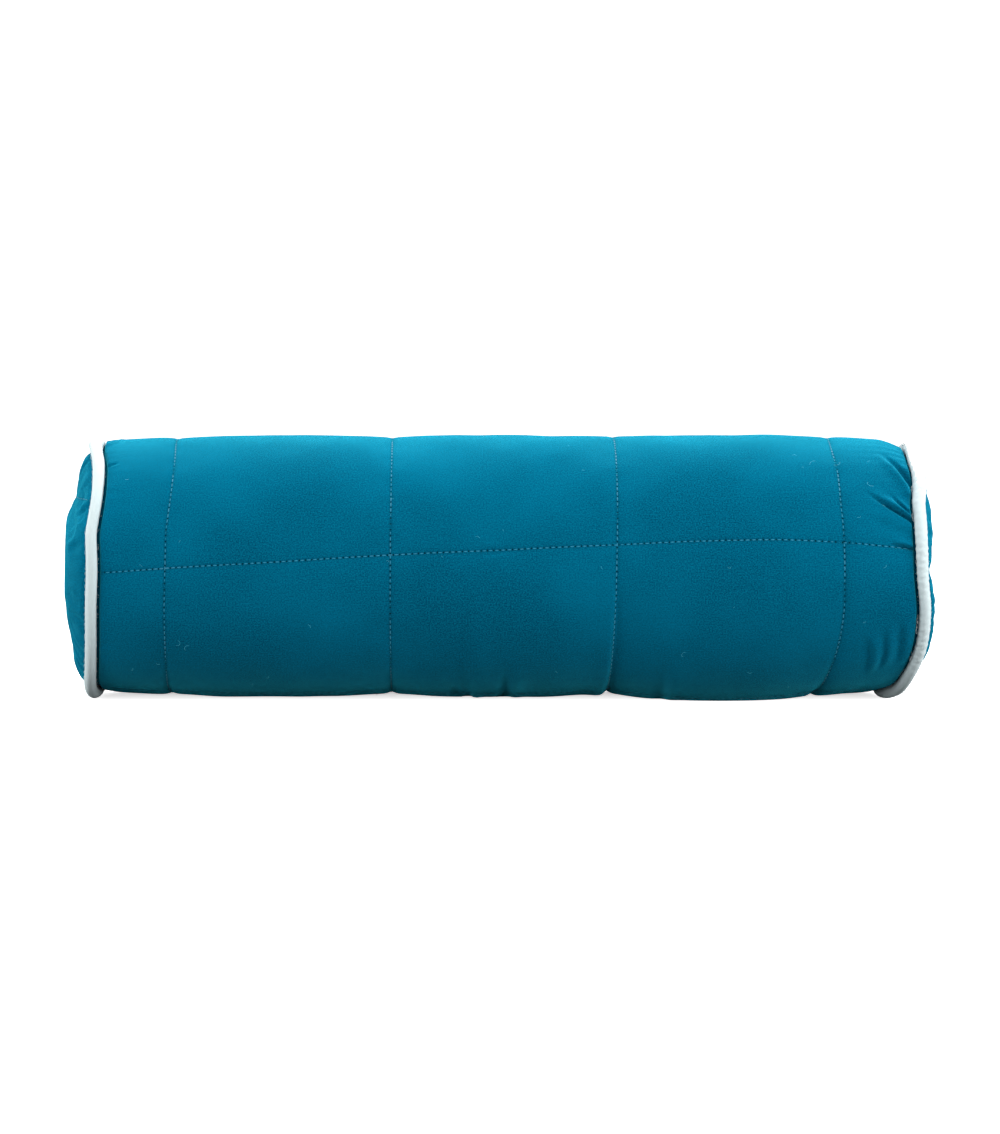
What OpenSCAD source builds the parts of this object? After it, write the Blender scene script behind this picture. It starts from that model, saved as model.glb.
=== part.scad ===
// Quilted bolster pillow: a round bolster in a removable quilted cover with piped ends.
//
// The cover is three layers quilted together (face cloth, wadding, lining).  It is closed
// along its back by a zip, and at each end by a crowned round panel and a ring of piping.
// Inside it is a separate pillow: a plain casing full of polyester fibre.
//
// Frame: +X along the bolster, -Y is its front, +Z is up.  The origin is on the surface
// that it rests on, under its middle.  Lengths are in millimetres, angles in degrees.
// Angles round the barrel are counted from the front, upwards.

/* [Overall size] */
// Length over the two crowned ends
overall_l = 500; // [400:5:640]
// Diameter of the barrel where it is fullest
barrel_d = 156; // [125:1:200]
// How far the crown of each end panel stands past its seam
end_crown = 18.5; // [15:0.5:26]
// How far the underside is pressed flat by resting on a surface
rest_press = 3; // [2:0.5:4]

/* [Quilting] */
// Number of quilting hoops round the barrel
hoop_count = 4; // [2:1:6]
// Distance from each end seam to the nearest hoop
end_cell = 44; // [34:1:52]
// Depth of the dip that a quilting hoop pulls into the barrel
quilt_dip = 2.2; // [1.4:0.1:2.8]
// How much the barrel narrows from its end hoops to its shoulders
end_taper = 1.6; // [0.5:0.1:2.4]
// How far the cloth puffs up between an end hoop and the shoulder
end_puff = 1.2; // [0.5:0.1:2]
// Number of quilting rows along the barrel
row_count = 4; // [1:1:4]
// Angle of the lowest quilting row
row_first = -158; // [-160:1:-150]
// Angle between neighbouring quilting rows
row_step = 86; // [70:1:88]
// Height of the quilting line across the left end panel, above its centre
left_line_up = 42; // [-45:1:45]
// Distance of the upright quilting line on the left end panel, behind its centre
left_line_back = 15; // [-45:1:45]
// Height of the quilting line across the right end panel, above its centre
right_line_up = 2; // [-45:1:45]
// Distance of the upright quilting line on the right end panel, behind its centre
right_line_back = -12; // [-45:1:45]

/* [Cloth and wadding] */
// Thickness of the face cloth
face_t = 0.8; // [0.5:0.1:1.2]
// Thickness of the wadding under the fullest part of the barrel
wadding_t = 5; // [4:0.5:7]
// Thickness of the wadding behind an end panel
end_wadding_t = 3; // [2:0.5:4]
// Thickness of the cover's lining
lining_t = 0.6; // [0.4:0.1:1]
// Width of the seam allowances, turned inwards at each end
seam_allowance = 10; // [7:1:13]
// Diameter of the sewing thread
thread_d = 0.5; // [0.3:0.1:0.7]

/* [Piping] */
// Outside diameter of the piping
piping_d = 7.2; // [5.6:0.2:9]
// Thickness of the bias strip that wraps the piping cord
bias_t = 0.5; // [0.3:0.1:0.8]

/* [Zip] */
// Angle of the zip, round the barrel
zip_angle = 165; // [160:1:172]
// Distance from each end seam to the end of the zip opening
zip_margin = 53.5; // [50:0.5:75]
// Width of the opening between the folded edges of the cover
zip_gap = 9; // [8.8:0.1:11]
// Width of each zip tape
tape_w = 13.4; // [11:0.2:14]
// Thickness of each zip tape
tape_t = 0.6; // [0.4:0.1:0.8]
// Spacing of the teeth along one side of the zip
tooth_pitch = 2.5; // [2:0.1:4]
// Width of the two meshed rows of teeth
chain_w = 5.6; // [4.8:0.1:6]
// Height of the teeth above the tape
tooth_h = 2.4; // [1.8:0.1:2.8]
// Length of the slider's body
slider_l = 11; // [9:0.5:14]
// Thickness of the slider's two plates
plate_t = 1.2; // [0.8:0.1:1.4]
// Length of the pull, from its pivot to its tip
pull_l = 20; // [14:1:26]
// Thickness of the pull
pull_t = 1; // [0.8:0.1:1.2]
// Width of the pull
pull_w = 5.2; // [5:0.1:7]
// Distance of the topstitching from the folded edges
topstitch_in = 6; // [4:0.5:7]

/* [Inner pillow] */
// Thickness of the inner casing
casing_t = 0.5; // [0.3:0.1:0.8]
// Room between the inner casing and the cover's lining
casing_gap = 0.4; // [0.3:0.1:1]
// Number of hand stitches that close the gap the casing was filled through
closing_stitches = 14; // [6:1:24]

/* [Hidden] */
$fn = 96;

// Lengths past the object, for cutting tools
far = overall_l;
deep = 2 * barrel_d;

// Seams and piping, whose lowest point touches the resting surface
barrel_r = barrel_d / 2;
axis_z = barrel_r - rest_press;
seam_x = overall_l / 2 - end_crown;
piping_r = piping_d / 2;
piping_clear = 0.4;
piping_ring_r = axis_z - piping_r;
seam_r = piping_ring_r - piping_r - piping_clear;
allowance_r = seam_r - seam_allowance;
seam_thread_in = 3;

// Quilted surface of the barrel
valley_r = barrel_r - quilt_dip;
shoulder_l = 10;
shoulder_x = seam_x - shoulder_l;
shoulder_r = valley_r - end_taper;
shoulder_foot_x = seam_x - piping_r - piping_clear;
hoop_reach = seam_x - end_cell;
hoop_gap = 2 * hoop_reach / (hoop_count - 1);
hoop_xs = [for (i = [0 : hoop_count - 1]) i * hoop_gap - hoop_reach];
row_angles = [for (i = [0 : row_count - 1]) row_first + i * row_step];
thread_room = 0.2;
notch_half_w = 6;
notch_h = 0.7;

// Fineness of the curved outlines
puff_steps = 8;
end_steps = 4;
shoulder_steps = 5;
dome_steps = 12;

// Layers of the barrel, from the outside inwards
wadding_in_r = barrel_r - face_t - wadding_t;
lining_in_r = wadding_in_r - lining_t;
casing_r = lining_in_r - casing_gap;
lining_shoulder_l = 14;
lining_foot_r = seam_r - face_t - 2.6;
lining_foot_x = shoulder_foot_x - 2;

// Layers of an end panel
crown_power = 2.5;
panel_x = seam_x + bias_t;
allowance_x = panel_x + face_t;
panel_lining_in = face_t + end_wadding_t;

// Zip, in heights above the barrel's axis: the tapes' outer edges clear the curved lining
land_drop = 2.5;
land_h = barrel_r - land_drop;
tape_slot = 1.6;
tape_edge = tape_slot / 2 + tape_w;
tape_clear = 0.18;
tape_top = sqrt(pow(lining_in_r, 2) - pow(tape_edge, 2)) - tape_clear;
tape_base = tape_top - tape_t;
tooth_top = tape_top + tooth_h;
slider_base = tape_base - 0.2 - plate_t;
top_plate_base = tooth_top + 0.4;
slider_top = top_plate_base + plate_t;

// Zip, along and across its line
opening_half = seam_x - zip_margin;
chain_half = opening_half - 10;
tape_half = opening_half + 8;
tooth_w = tooth_pitch / 2 - 0.2;
tooth_root = 1.2;
tooth_reach = 0.8;
tooth_count = floor(2 * chain_half / tooth_pitch);
stop_l = 2.6;
slider_w = zip_gap - 0.6;
slider_wall = 0.6;
post_w = 1;
post_l = 2.6;
slider_x = chain_half + post_l + 1.5 - slider_l / 2;

// Pull and the arch that holds it: the pull lies just clear of the cloth beside the zip
pivot_r = 0.55;
pivot_h = land_h + 0.3 + pull_t / 2;
arch_half = 3.6;
arch_leg = 1.2;
arch_w = 2.2;
arch_inside = pivot_h + pivot_r + 0.25;
arch_top = arch_inside + 0.7;
pull_arm_w = 1.2;
pull_eye_l = 4.6;
pull_hole_r = 1.1;

// Inner pillow, which narrows at each end to pass inside the seam allowances
pillow_shoulder_x = seam_x - 20;
pillow_tip_x = seam_x + end_crown - panel_lining_in - lining_t - casing_gap;
pillow_end_power = 1.6;
pillow_land = slider_base - 0.4;

function unit(v) = v / norm(v);
function left_normal(a, b) = let (d = unit(b - a)) [-d[1], d[0]];
function mirrored(path) = [for (i = [len(path) - 1 : -1 : 0]) [-path[i][0], path[i][1]]];

// A path moved sideways by d, with mitred corners
function offset_path(path, d) =
    let (last = len(path) - 1)
    [for (i = [0 : last])
        let (
            before = left_normal(path[max(i - 1, 0)], path[max(i, 1)]),
            after = left_normal(path[min(i, last - 1)], path[min(i + 1, last)]),
            mid = unit(before + after)
        )
        path[i] + mid * d / (mid * after)];

// Radius of the cloth at x, puffed up between the lines at a and b
function puff_radius(x, a, b, from_r, to_r, puff) =
    let (t = (x - a) / (b - a))
    from_r + (to_r - from_r) * t + puff * (1 - pow(abs(2 * t - 1), 3));

// Points between the lines at a and b, without the lines themselves
function puff_points(a, b, from_r, to_r, puff, steps) =
    [for (i = [1 : steps - 1])
        let (x = a + (b - a) * i / steps) [x, puff_radius(x, a, b, from_r, to_r, puff)]];

// The narrow floor of a hoop's dip, as wide as its thread with some room
function hoop_floor(x) = [[x - thread_d, valley_r], [x + thread_d, valley_r]];

// A quarter of an ellipse from (x0, r0), level, down to (x1, r1), upright
function shoulder_points(x0, r0, x1, r1) =
    [for (i = [0 : shoulder_steps])
        let (a = 90 * i / shoulder_steps) [x0 + (x1 - x0) * sin(a), r1 + (r0 - r1) * cos(a)]];

// Outside of the barrel from its last hoop over the shoulder
function right_end_points() =
    let (x = hoop_xs[hoop_count - 1])
    concat(
        hoop_floor(x),
        puff_points(x, shoulder_x, valley_r, shoulder_r, end_puff, end_steps),
        shoulder_points(shoulder_x, shoulder_r, shoulder_foot_x, seam_r)
    );

// Outside of the barrel from shoulder to shoulder, with every hoop's dip in it
function barrel_points() =
    let (right = right_end_points())
    concat(
        mirrored(right),
        [for (i = [0 : hoop_count - 2])
            each concat(
                puff_points(hoop_xs[i], hoop_xs[i + 1], valley_r, valley_r, quilt_dip, puff_steps),
                i < hoop_count - 2 ? hoop_floor(hoop_xs[i + 1]) : []
            )],
        right
    );

// The outline inset by d, carried level to the seam and closed there at end_x
function closed_outline(d, end_x) =
    let (path = offset_path(barrel_points(), -d), r = seam_r - d)
    concat([[-end_x, r]], path, [[end_x, r]]);

// A plain barrel that narrows over its shoulders, for the lining
function lining_outline(inset) =
    let (
        right = concat(
            shoulder_points(
                seam_x - lining_shoulder_l - inset, wadding_in_r - inset,
                lining_foot_x - inset, lining_foot_r - inset
            ),
            [[seam_x - bias_t - face_t - inset, lining_foot_r - inset]]
        )
    )
    concat(mirrored(right), right);

// A dome of radius a that rises from x0 to x1
function dome_points(a, x0, x1, power) =
    [for (i = [0 : dome_steps])
        let (t = 90 * i / dome_steps)
        [x0 + (x1 - x0) * pow(sin(t), 2 / power), a * pow(cos(t), 2 / power)]];

function pillow_outline(inset) =
    let (right = dome_points(
        casing_r - inset, pillow_shoulder_x, pillow_tip_x - inset, pillow_end_power
    ))
    concat(mirrored(right), right);

// Solid of revolution about the barrel's axis, closed from an [x, radius] path
module turned(path) {
    first = path[0];
    last = path[len(path) - 1];
    translate([0, 0, axis_z])
        rotate([0, 90, 0])
            rotate_extrude()
                polygon(concat(
                    first[1] > 0.01 ? [[0, first[0]]] : [],
                    [for (p = path) [p[1], p[0]]],
                    last[1] > 0.01 ? [[0, last[0]]] : []
                ));
}

// A ring about the barrel's axis, from a section drawn as [radius, x]
module ring() {
    translate([0, 0, axis_z]) rotate([0, 90, 0]) rotate_extrude() children();
}

// Everything above the resting side at height h, which rises by notch under each hoop
module above_rest(h, notch = 0) {
    rotate([90, 0, 0])
        linear_extrude(height = deep, center = true)
            polygon(concat(
                [[-far, deep], [-far, h]],
                notch > 0 ? [for (x = hoop_xs) each [
                    [x - notch_half_w, h],
                    [x - thread_d, h + notch],
                    [x + thread_d, h + notch],
                    [x + notch_half_w, h]
                ]] : [],
                [[far, h], [far, deep]]
            ));
}

// Children drawn from the barrel's axis, with +Z pointing out of the barrel at an angle
module facing(angle) {
    translate([0, 0, axis_z]) rotate([90 - angle, 0, 0]) children();
}

// Everything nearer the axis than height h on the zip's side
module under_land(h) {
    facing(zip_angle)
        translate([-far, -deep, -deep]) cube([2 * far, 2 * deep, deep + h]);
}

// Block over the zip's opening, grown by more each way, between two heights above the axis
module zip_block(more, from_h, to_h) {
    facing(zip_angle)
        translate([-opening_half - more, -zip_gap / 2 - more, from_h])
            cube([2 * (opening_half + more), zip_gap + 2 * more, to_h - from_h]);
}

// The way in for the inner pillow, through the seam allowances
module allowance_hole(to_x) {
    translate([-to_x, 0, axis_z]) rotate([0, 90, 0]) cylinder(r = allowance_r, h = 2 * to_x);
}

module face_body() {
    intersection() {
        turned(closed_outline(0, seam_x - bias_t));
        above_rest(0, notch_h);
        under_land(land_h);
    }
}

module wadding_body() {
    intersection() {
        turned(closed_outline(face_t, seam_x - bias_t - face_t));
        above_rest(face_t, notch_h);
        under_land(land_h - face_t);
    }
}

module lining_body(inset) {
    intersection() {
        turned(lining_outline(inset));
        above_rest(face_t + wadding_t + inset);
    }
}

// The face cloth turns in at the zip and stands on the tapes
module barrel_face_cloth() {
    color("#0b7594") {
        difference() {
            face_body();
            wadding_body();
            allowance_hole(seam_x);
            zip_block(0, 0, deep);
        }
        difference() {
            zip_block(face_t, tape_top, land_h - face_t / 2);
            zip_block(0, 0, deep);
        }
    }
}

module barrel_wadding() {
    color("#f2f2ee") difference() {
        wadding_body();
        lining_body(0);
        zip_block(face_t, 0, deep);
    }
}

module barrel_lining() {
    color("#0d6c88") difference() {
        lining_body(0);
        lining_body(lining_t);
        allowance_hole(seam_x);
        zip_block(face_t, 0, deep);
    }
}

// Section of the barrel at a hoop, grown outwards: round, with its flat rest and zip land
module hoop_section(grow) {
    intersection() {
        circle(r = valley_r + grow);
        rotate(90 - zip_angle)
            translate([-deep, -deep]) square([2 * deep, deep + land_h + grow]);
        translate([-deep, notch_h - grow - axis_z]) square([2 * deep, 2 * deep]);
    }
}

module quilting_hoop_threads() {
    color("#2aa3bd") difference() {
        for (x = hoop_xs)
            translate([x - thread_d / 2, 0, axis_z])
                rotate([90, 0, 90])
                    linear_extrude(height = thread_d)
                        difference() {
                            hoop_section(thread_d);
                            hoop_section(0);
                        }
        zip_block(0, 0, deep);
    }
}

// Room round every hoop's thread, for the threads that cross it
module hoop_crossings() {
    w = thread_d + 2 * thread_room;
    for (x = hoop_xs) translate([x - w / 2, -deep, -deep]) cube([w, 2 * deep, 2 * deep]);
}

// Rows follow the puffed surface from shoulder to shoulder
module quilting_row_threads() {
    surface = [for (p = barrel_points()) if (abs(p[0]) <= shoulder_x) p];
    outer = offset_path(surface, thread_d);
    band = concat(surface, [for (i = [len(outer) - 1 : -1 : 0]) outer[i]]);
    color("#2aa3bd") difference() {
        for (a = row_angles)
            facing(a)
                rotate([90, 0, 0])
                    linear_extrude(height = thread_d, center = true) polygon(band);
        hoop_crossings();
    }
}

// The seam that closes the barrel past each end of the zip, inside the lining
module back_seam_threads() {
    start = tape_half + 1;
    end = seam_x - lining_shoulder_l - 1;
    color("#2aa3bd") facing(zip_angle)
        for (x = [start, -end])
            translate([x, -thread_d / 2, lining_in_r - thread_d - 0.01])
                cube([end - start, thread_d, thread_d]);
}

// Solid of a right end panel, inset from the panel's outside, on a base at base_x
module end_body(inset, base_x) {
    turned(dome_points(seam_r - inset, base_x, seam_x + end_crown - inset, crown_power));
}

module end_face_cloth() {
    color("#0b7594") difference() {
        end_body(0, panel_x);
        end_body(face_t, allowance_x);
        allowance_hole(allowance_x);
    }
}

module end_wadding() {
    color("#f2f2ee") difference() {
        end_body(face_t, allowance_x);
        end_body(panel_lining_in, allowance_x);
    }
}

module end_lining() {
    color("#0d6c88") difference() {
        end_body(panel_lining_in, allowance_x);
        end_body(panel_lining_in + lining_t, allowance_x + lining_t);
        allowance_hole(allowance_x + lining_t);
    }
}

// Two lines of quilting cross on an end panel, and stop short of the piping
module end_quilting_thread(up, back) {
    color("#2aa3bd") intersection() {
        difference() {
            end_body(-thread_d, panel_x);
            end_body(0, panel_x);
        }
        translate([0, 0, axis_z]) {
            translate([0, -deep, up - thread_d / 2]) cube([far, 2 * deep, thread_d]);
            translate([0, back - thread_d / 2, -deep]) cube([far, thread_d, 2 * deep]);
        }
        translate([0, 0, axis_z]) rotate([0, 90, 0]) cylinder(r = seam_r - 2, h = far);
    }
}

module piping_cord() {
    color("#f7f7f2") ring() translate([piping_ring_r, seam_x]) circle(r = piping_r - bias_t);
}

// The strip wraps the cord, and its two edges lie between the seam allowances
module piping_bias_strip() {
    color("#dceaea") ring() difference() {
        union() {
            translate([piping_ring_r, seam_x]) circle(r = piping_r);
            translate([allowance_r, seam_x - bias_t])
                square([piping_ring_r - allowance_r, 2 * bias_t]);
        }
        translate([piping_ring_r, seam_x]) circle(r = piping_r - bias_t);
    }
}

// Needle and bobbin thread, on the two faces of the stack of seam allowances
module seam_threads() {
    stack = bias_t + face_t + lining_t;
    r = allowance_r + seam_thread_in;
    color("#2aa3bd") ring() for (x = [seam_x - stack - thread_d, seam_x + stack])
        translate([r, x]) square(thread_d);
}

module at_left() { mirror([1, 0, 0]) children(); }

// One zip tape: side is 1 below the teeth and -1 above them
module zip_tape(side) {
    y = side > 0 ? tape_slot / 2 : -tape_slot / 2 - tape_w;
    color("#0d6c88") facing(zip_angle)
        translate([-tape_half, y, tape_base]) cube([2 * tape_half, tape_w, tape_t]);
}

// One row of teeth on its spine: each tooth reaches in between two of the other row's
module zip_teeth(side) {
    phase = side > 0 ? 0.25 : 0.75;
    teeth = [for (i = [0 : tooth_count - 1])
        let (x = (i + phase) * tooth_pitch - chain_half, a = x - tooth_w / 2, b = x + tooth_w / 2)
        each [[a, tooth_root], [a, -tooth_reach], [b, -tooth_reach], [b, tooth_root]]];
    back = chain_w / 2;
    row = concat(
        [[chain_half, back], [-chain_half, back], [-chain_half, tooth_root]],
        teeth,
        [[chain_half, tooth_root]]
    );
    color("#0f7f9b") facing(zip_angle)
        translate([0, 0, tape_top])
            linear_extrude(height = tooth_h) polygon([for (p = row) [p[0], side * p[1]]]);
}

// A stop on each tape keeps the slider from running off the open end
module zip_top_stops() {
    w = (chain_w - tape_slot) / 2;
    color("#c9ccce") facing(zip_angle)
        for (y = [tape_slot / 2, -tape_slot / 2 - w])
            translate([slider_x + slider_l / 2 + 0.5, y, tape_top]) cube([stop_l, w, tooth_h]);
}

module zip_bottom_stop() {
    color("#c9ccce") facing(zip_angle)
        translate([-chain_half - stop_l - 0.2, -chain_w / 2, tape_top])
            cube([stop_l, chain_w, tooth_h]);
}

// Two plates joined by a post, with side walls that steer the teeth, and the pull's arch
module zip_slider() {
    color("#c9ccce") facing(zip_angle) translate([slider_x, 0, 0]) {
        for (h = [slider_base, top_plate_base])
            translate([-slider_l / 2, -slider_w / 2, h]) cube([slider_l, slider_w, plate_t]);
        for (y = [-slider_w / 2, slider_w / 2 - slider_wall])
            translate([-slider_l / 2, y, tape_top + 0.3])
                cube([slider_l, slider_wall, top_plate_base - tape_top]);
        translate([slider_l / 2 - post_l, -post_w / 2, slider_base])
            cube([post_l, post_w, slider_top - slider_base]);
        difference() {
            translate([-arch_half, -arch_w / 2, top_plate_base])
                cube([2 * arch_half, arch_w, arch_top - top_plate_base]);
            translate([arch_leg - arch_half, -arch_w, slider_top])
                cube([2 * (arch_half - arch_leg), 2 * arch_w, arch_inside - slider_top]);
        }
    }
}

// The pull swings on a round bar under the slider's arch, with an arm on each side of it
module zip_pull() {
    tip_x = pull_w / 2 - pull_l;
    color("#c9ccce") facing(zip_angle) translate([slider_x, 0, pivot_h]) {
        rotate([90, 0, 0]) cylinder(r = pivot_r, h = pull_w, center = true);
        for (y = [-pull_w / 2, pull_w / 2 - pull_arm_w])
            translate([-pull_eye_l - 1, y, -pull_t / 2])
                cube([pull_eye_l + 1, pull_arm_w, pull_t]);
        difference() {
            union() {
                translate([tip_x, -pull_w / 2, -pull_t / 2])
                    cube([-pull_eye_l - tip_x, pull_w, pull_t]);
                translate([tip_x, 0, -pull_t / 2]) cylinder(d = pull_w, h = pull_t);
            }
            translate([tip_x, 0, -pull_t]) cylinder(r = pull_hole_r, h = 2 * pull_t);
        }
    }
}

// Frame of topstitching round the zip, on the flat land beside its folded edges
module zip_topstitch_thread() {
    l = 2 * (opening_half + topstitch_in);
    w = zip_gap + 2 * topstitch_in;
    color("#2aa3bd") difference() {
        facing(zip_angle) translate([0, 0, land_h]) linear_extrude(height = thread_d)
            difference() {
                square([l, w], center = true);
                square([l - 2 * thread_d, w - 2 * thread_d], center = true);
            }
        hoop_crossings();
    }
}

module pillow_body(inset) {
    intersection() {
        turned(pillow_outline(inset));
        above_rest(axis_z - casing_r + rest_press + inset);
        under_land(pillow_land - inset);
    }
}

module pillow_shell() {
    difference() {
        pillow_body(0);
        pillow_body(casing_t);
    }
}

module inner_casing_barrel() {
    color("#f4f2ec") intersection() {
        pillow_shell();
        translate([-pillow_shoulder_x, -deep, -deep])
            cube([2 * pillow_shoulder_x, 2 * deep, 2 * deep]);
    }
}

module inner_casing_end() {
    color("#f4f2ec") intersection() {
        pillow_shell();
        translate([pillow_shoulder_x, -deep, -deep]) cube([far, 2 * deep, 2 * deep]);
    }
}

// Slanting hand stitches across the gap that the casing was filled through
module inner_casing_closing_stitches() {
    spacing = 7;
    size = [5, 0.4, 0.25];
    color("#ffffff") facing(50)
        for (i = [0 : closing_stitches - 1])
            translate([(i - (closing_stitches - 1) / 2) * spacing, 0, casing_r + size[2] / 2])
                rotate([0, 0, 60]) cube(size, center = true);
}

module polyester_filling() {
    color("#fbfbf8") pillow_body(casing_t);
}

barrel_face_cloth();
barrel_wadding();
barrel_lining();
quilting_hoop_threads();
quilting_row_threads();
back_seam_threads();
at_left() end_face_cloth();  // left_end_face_cloth
at_left() end_wadding();  // left_end_wadding
at_left() end_lining();  // left_end_lining
at_left() end_quilting_thread(left_line_up, left_line_back);  // left_end_quilting_thread
at_left() piping_cord();  // left_piping_cord
at_left() piping_bias_strip();  // left_piping_bias_strip
at_left() seam_threads();  // left_seam_threads
end_face_cloth();  // right_end_face_cloth
end_wadding();  // right_end_wadding
end_lining();  // right_end_lining
end_quilting_thread(right_line_up, right_line_back);  // right_end_quilting_thread
piping_cord();  // right_piping_cord
piping_bias_strip();  // right_piping_bias_strip
seam_threads();  // right_seam_threads
zip_tape(-1);  // zip_tape_upper
zip_tape(1);  // zip_tape_lower
zip_teeth(-1);  // zip_teeth_upper
zip_teeth(1);  // zip_teeth_lower
zip_top_stops();
zip_bottom_stop();
zip_slider();
zip_pull();
zip_topstitch_thread();
inner_casing_barrel();
at_left() inner_casing_end();  // inner_casing_left_end
inner_casing_end();  // inner_casing_right_end
inner_casing_closing_stitches();
polyester_filling();
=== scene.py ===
"""Looks of a quilted bolster pillow: face cloth, piping, end panels, stitching, zip and filling.

Lengths in the classes are in millimetres and angles in degrees.  A place on the bolster is
given as a station (along +X from the middle), an angle (round the barrel, from the front
upwards) and a radius (from the barrel's axis).
"""

import logging
import math
from collections.abc import Callable, Sequence
from dataclasses import dataclass, field
from enum import Enum

import bpy
import numpy as np
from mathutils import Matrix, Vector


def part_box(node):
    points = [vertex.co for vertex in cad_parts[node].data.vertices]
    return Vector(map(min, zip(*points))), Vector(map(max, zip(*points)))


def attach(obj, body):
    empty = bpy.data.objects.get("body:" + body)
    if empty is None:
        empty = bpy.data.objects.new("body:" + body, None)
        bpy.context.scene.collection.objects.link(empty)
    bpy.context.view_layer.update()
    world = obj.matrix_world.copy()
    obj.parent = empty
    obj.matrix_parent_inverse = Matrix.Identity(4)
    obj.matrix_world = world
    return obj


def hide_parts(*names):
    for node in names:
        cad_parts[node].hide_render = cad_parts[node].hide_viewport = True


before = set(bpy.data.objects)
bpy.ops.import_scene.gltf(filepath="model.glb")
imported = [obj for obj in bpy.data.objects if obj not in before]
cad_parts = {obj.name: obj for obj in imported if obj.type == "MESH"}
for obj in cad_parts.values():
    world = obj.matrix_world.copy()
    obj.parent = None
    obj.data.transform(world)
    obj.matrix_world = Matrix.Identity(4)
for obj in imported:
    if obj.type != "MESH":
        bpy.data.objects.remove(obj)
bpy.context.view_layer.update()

MM = 0.001
log = logging.getLogger("bolster")


# ---------------------------------------------------------------- small helpers


def smooth_step(low: float, high: float, value: np.ndarray) -> np.ndarray:
    """Rise from 0 to 1 as a value goes from low to high.

    Args:
        low: where the rise starts.
        high: where it ends; it may be less than low.
        value: the values.

    Returns:
        The share, from 0 to 1, with level ends.
    """
    t = np.clip((value - low) / (high - low), 0.0, 1.0)
    return t * t * (3 - 2 * t)


def wrapped(angle: np.ndarray) -> np.ndarray:
    """Bring angles into the half turn on each side of zero."""
    return (np.asarray(angle, float) + 180.0) % 360.0 - 180.0


def round_curve(points: Sequence[tuple[float, float]], angle: np.ndarray) -> np.ndarray:
    """Read a smooth curve that goes once round the barrel.

    Args:
        points: (angle, value) pairs in rising order, within one turn.
        angle: where to read it.

    Returns:
        The values, eased between the points.
    """
    at = np.array([p[0] for p in points])
    value = np.array([p[1] for p in points])
    at = np.concatenate([at[-2:] - 360.0, at, at[:2] + 360.0])
    value = np.concatenate([value[-2:], value, value[:2]])
    a = (np.asarray(angle, float) - at[1]) % 360.0 + at[1]
    return eased(at, value, a)


def eased(at: np.ndarray, value: np.ndarray, where: np.ndarray) -> np.ndarray:
    """Read a curve that passes smoothly through its points.

    Args:
        at: the points' places, rising.
        value: the points' values.
        where: the places to read, level past the ends.

    Returns:
        The values.
    """
    x = np.clip(where, at[0], at[-1])
    i = np.clip(np.searchsorted(at, x, side="right") - 1, 0, len(at) - 2)
    gap = at[i + 1] - at[i]
    t = (x - at[i]) / gap
    slope = np.gradient(value, at)
    start = (2 * t**3 - 3 * t**2 + 1) * value[i] + (t**3 - 2 * t**2 + t) * gap * slope[i]
    return start + (3 * t**2 - 2 * t**3) * value[i + 1] + (t**3 - t**2) * gap * slope[i + 1]


def long_curve(points: Sequence[tuple[float, float]], station: np.ndarray) -> np.ndarray:
    """Read a curve that runs along the bolster, level past its ends.

    Args:
        points: (station, value) pairs in rising order.
        station: where to read it.

    Returns:
        The values.
    """
    return np.interp(station, [p[0] for p in points], [p[1] for p in points])


def walk(start: float, end: float, step: Callable[[float], float]) -> list[float]:
    """Lay grid lines from start to end at a spacing that changes on the way.

    Args:
        start: the first line.
        end: the last line.
        step: gives the spacing wanted at a place.

    Returns:
        The lines, with both ends exactly on start and end.
    """
    lines = [start]
    while lines[-1] < end:
        lines.append(lines[-1] + step(lines[-1]))
    scale = (end - start) / (lines[-1] - start)
    return [start + (v - start) * scale for v in lines]


def make_mesh(name: str, points: np.ndarray, faces: Sequence[Sequence[int]]) -> bpy.types.Object:
    """Make an object from points in metres.

    Args:
        name: the piece's name.
        points: one row of x, y, z for each point.
        faces: the corners of each face.

    Returns:
        The object, at the origin, shaded smooth.
    """
    mesh = bpy.data.meshes.new(name)
    mesh.from_pydata(points.tolist(), [], [tuple(map(int, f)) for f in faces])
    mesh.validate()
    mesh.shade_smooth()
    obj = bpy.data.objects.new(name, mesh)
    bpy.context.scene.collection.objects.link(obj)
    return obj


def add_uv(obj: bpy.types.Object, name: str, values: np.ndarray) -> None:
    """Give a mesh a UV map from one pair of values for each point.

    Args:
        obj: the piece.
        name: the UV map's name.
        values: one row of u, v for each point.
    """
    layer = obj.data.uv_layers.new(name=name)
    corner = np.zeros(len(obj.data.loops), np.int32)
    obj.data.loops.foreach_get("vertex_index", corner)
    layer.data.foreach_set("uv", values[corner].astype(np.float32).ravel())


def places_of(obj: bpy.types.Object) -> np.ndarray:
    """Where a piece's points are, in millimetres.

    Args:
        obj: the piece.

    Returns:
        One row for each point.
    """
    co = np.zeros(len(obj.data.vertices) * 3)
    obj.data.vertices.foreach_get("co", co)
    return co.reshape(-1, 3) / MM


def only(obj: bpy.types.Object) -> None:
    """Select one object and make it active, with nothing else selected."""
    for other in bpy.context.selected_objects:
        other.select_set(False)
    obj.select_set(True)
    bpy.context.view_layer.objects.active = obj


def apply_all(obj: bpy.types.Object) -> None:
    """Apply an object's modifiers in order."""
    only(obj)
    for modifier in list(obj.modifiers):
        bpy.ops.object.modifier_apply(modifier=modifier.name)


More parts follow.
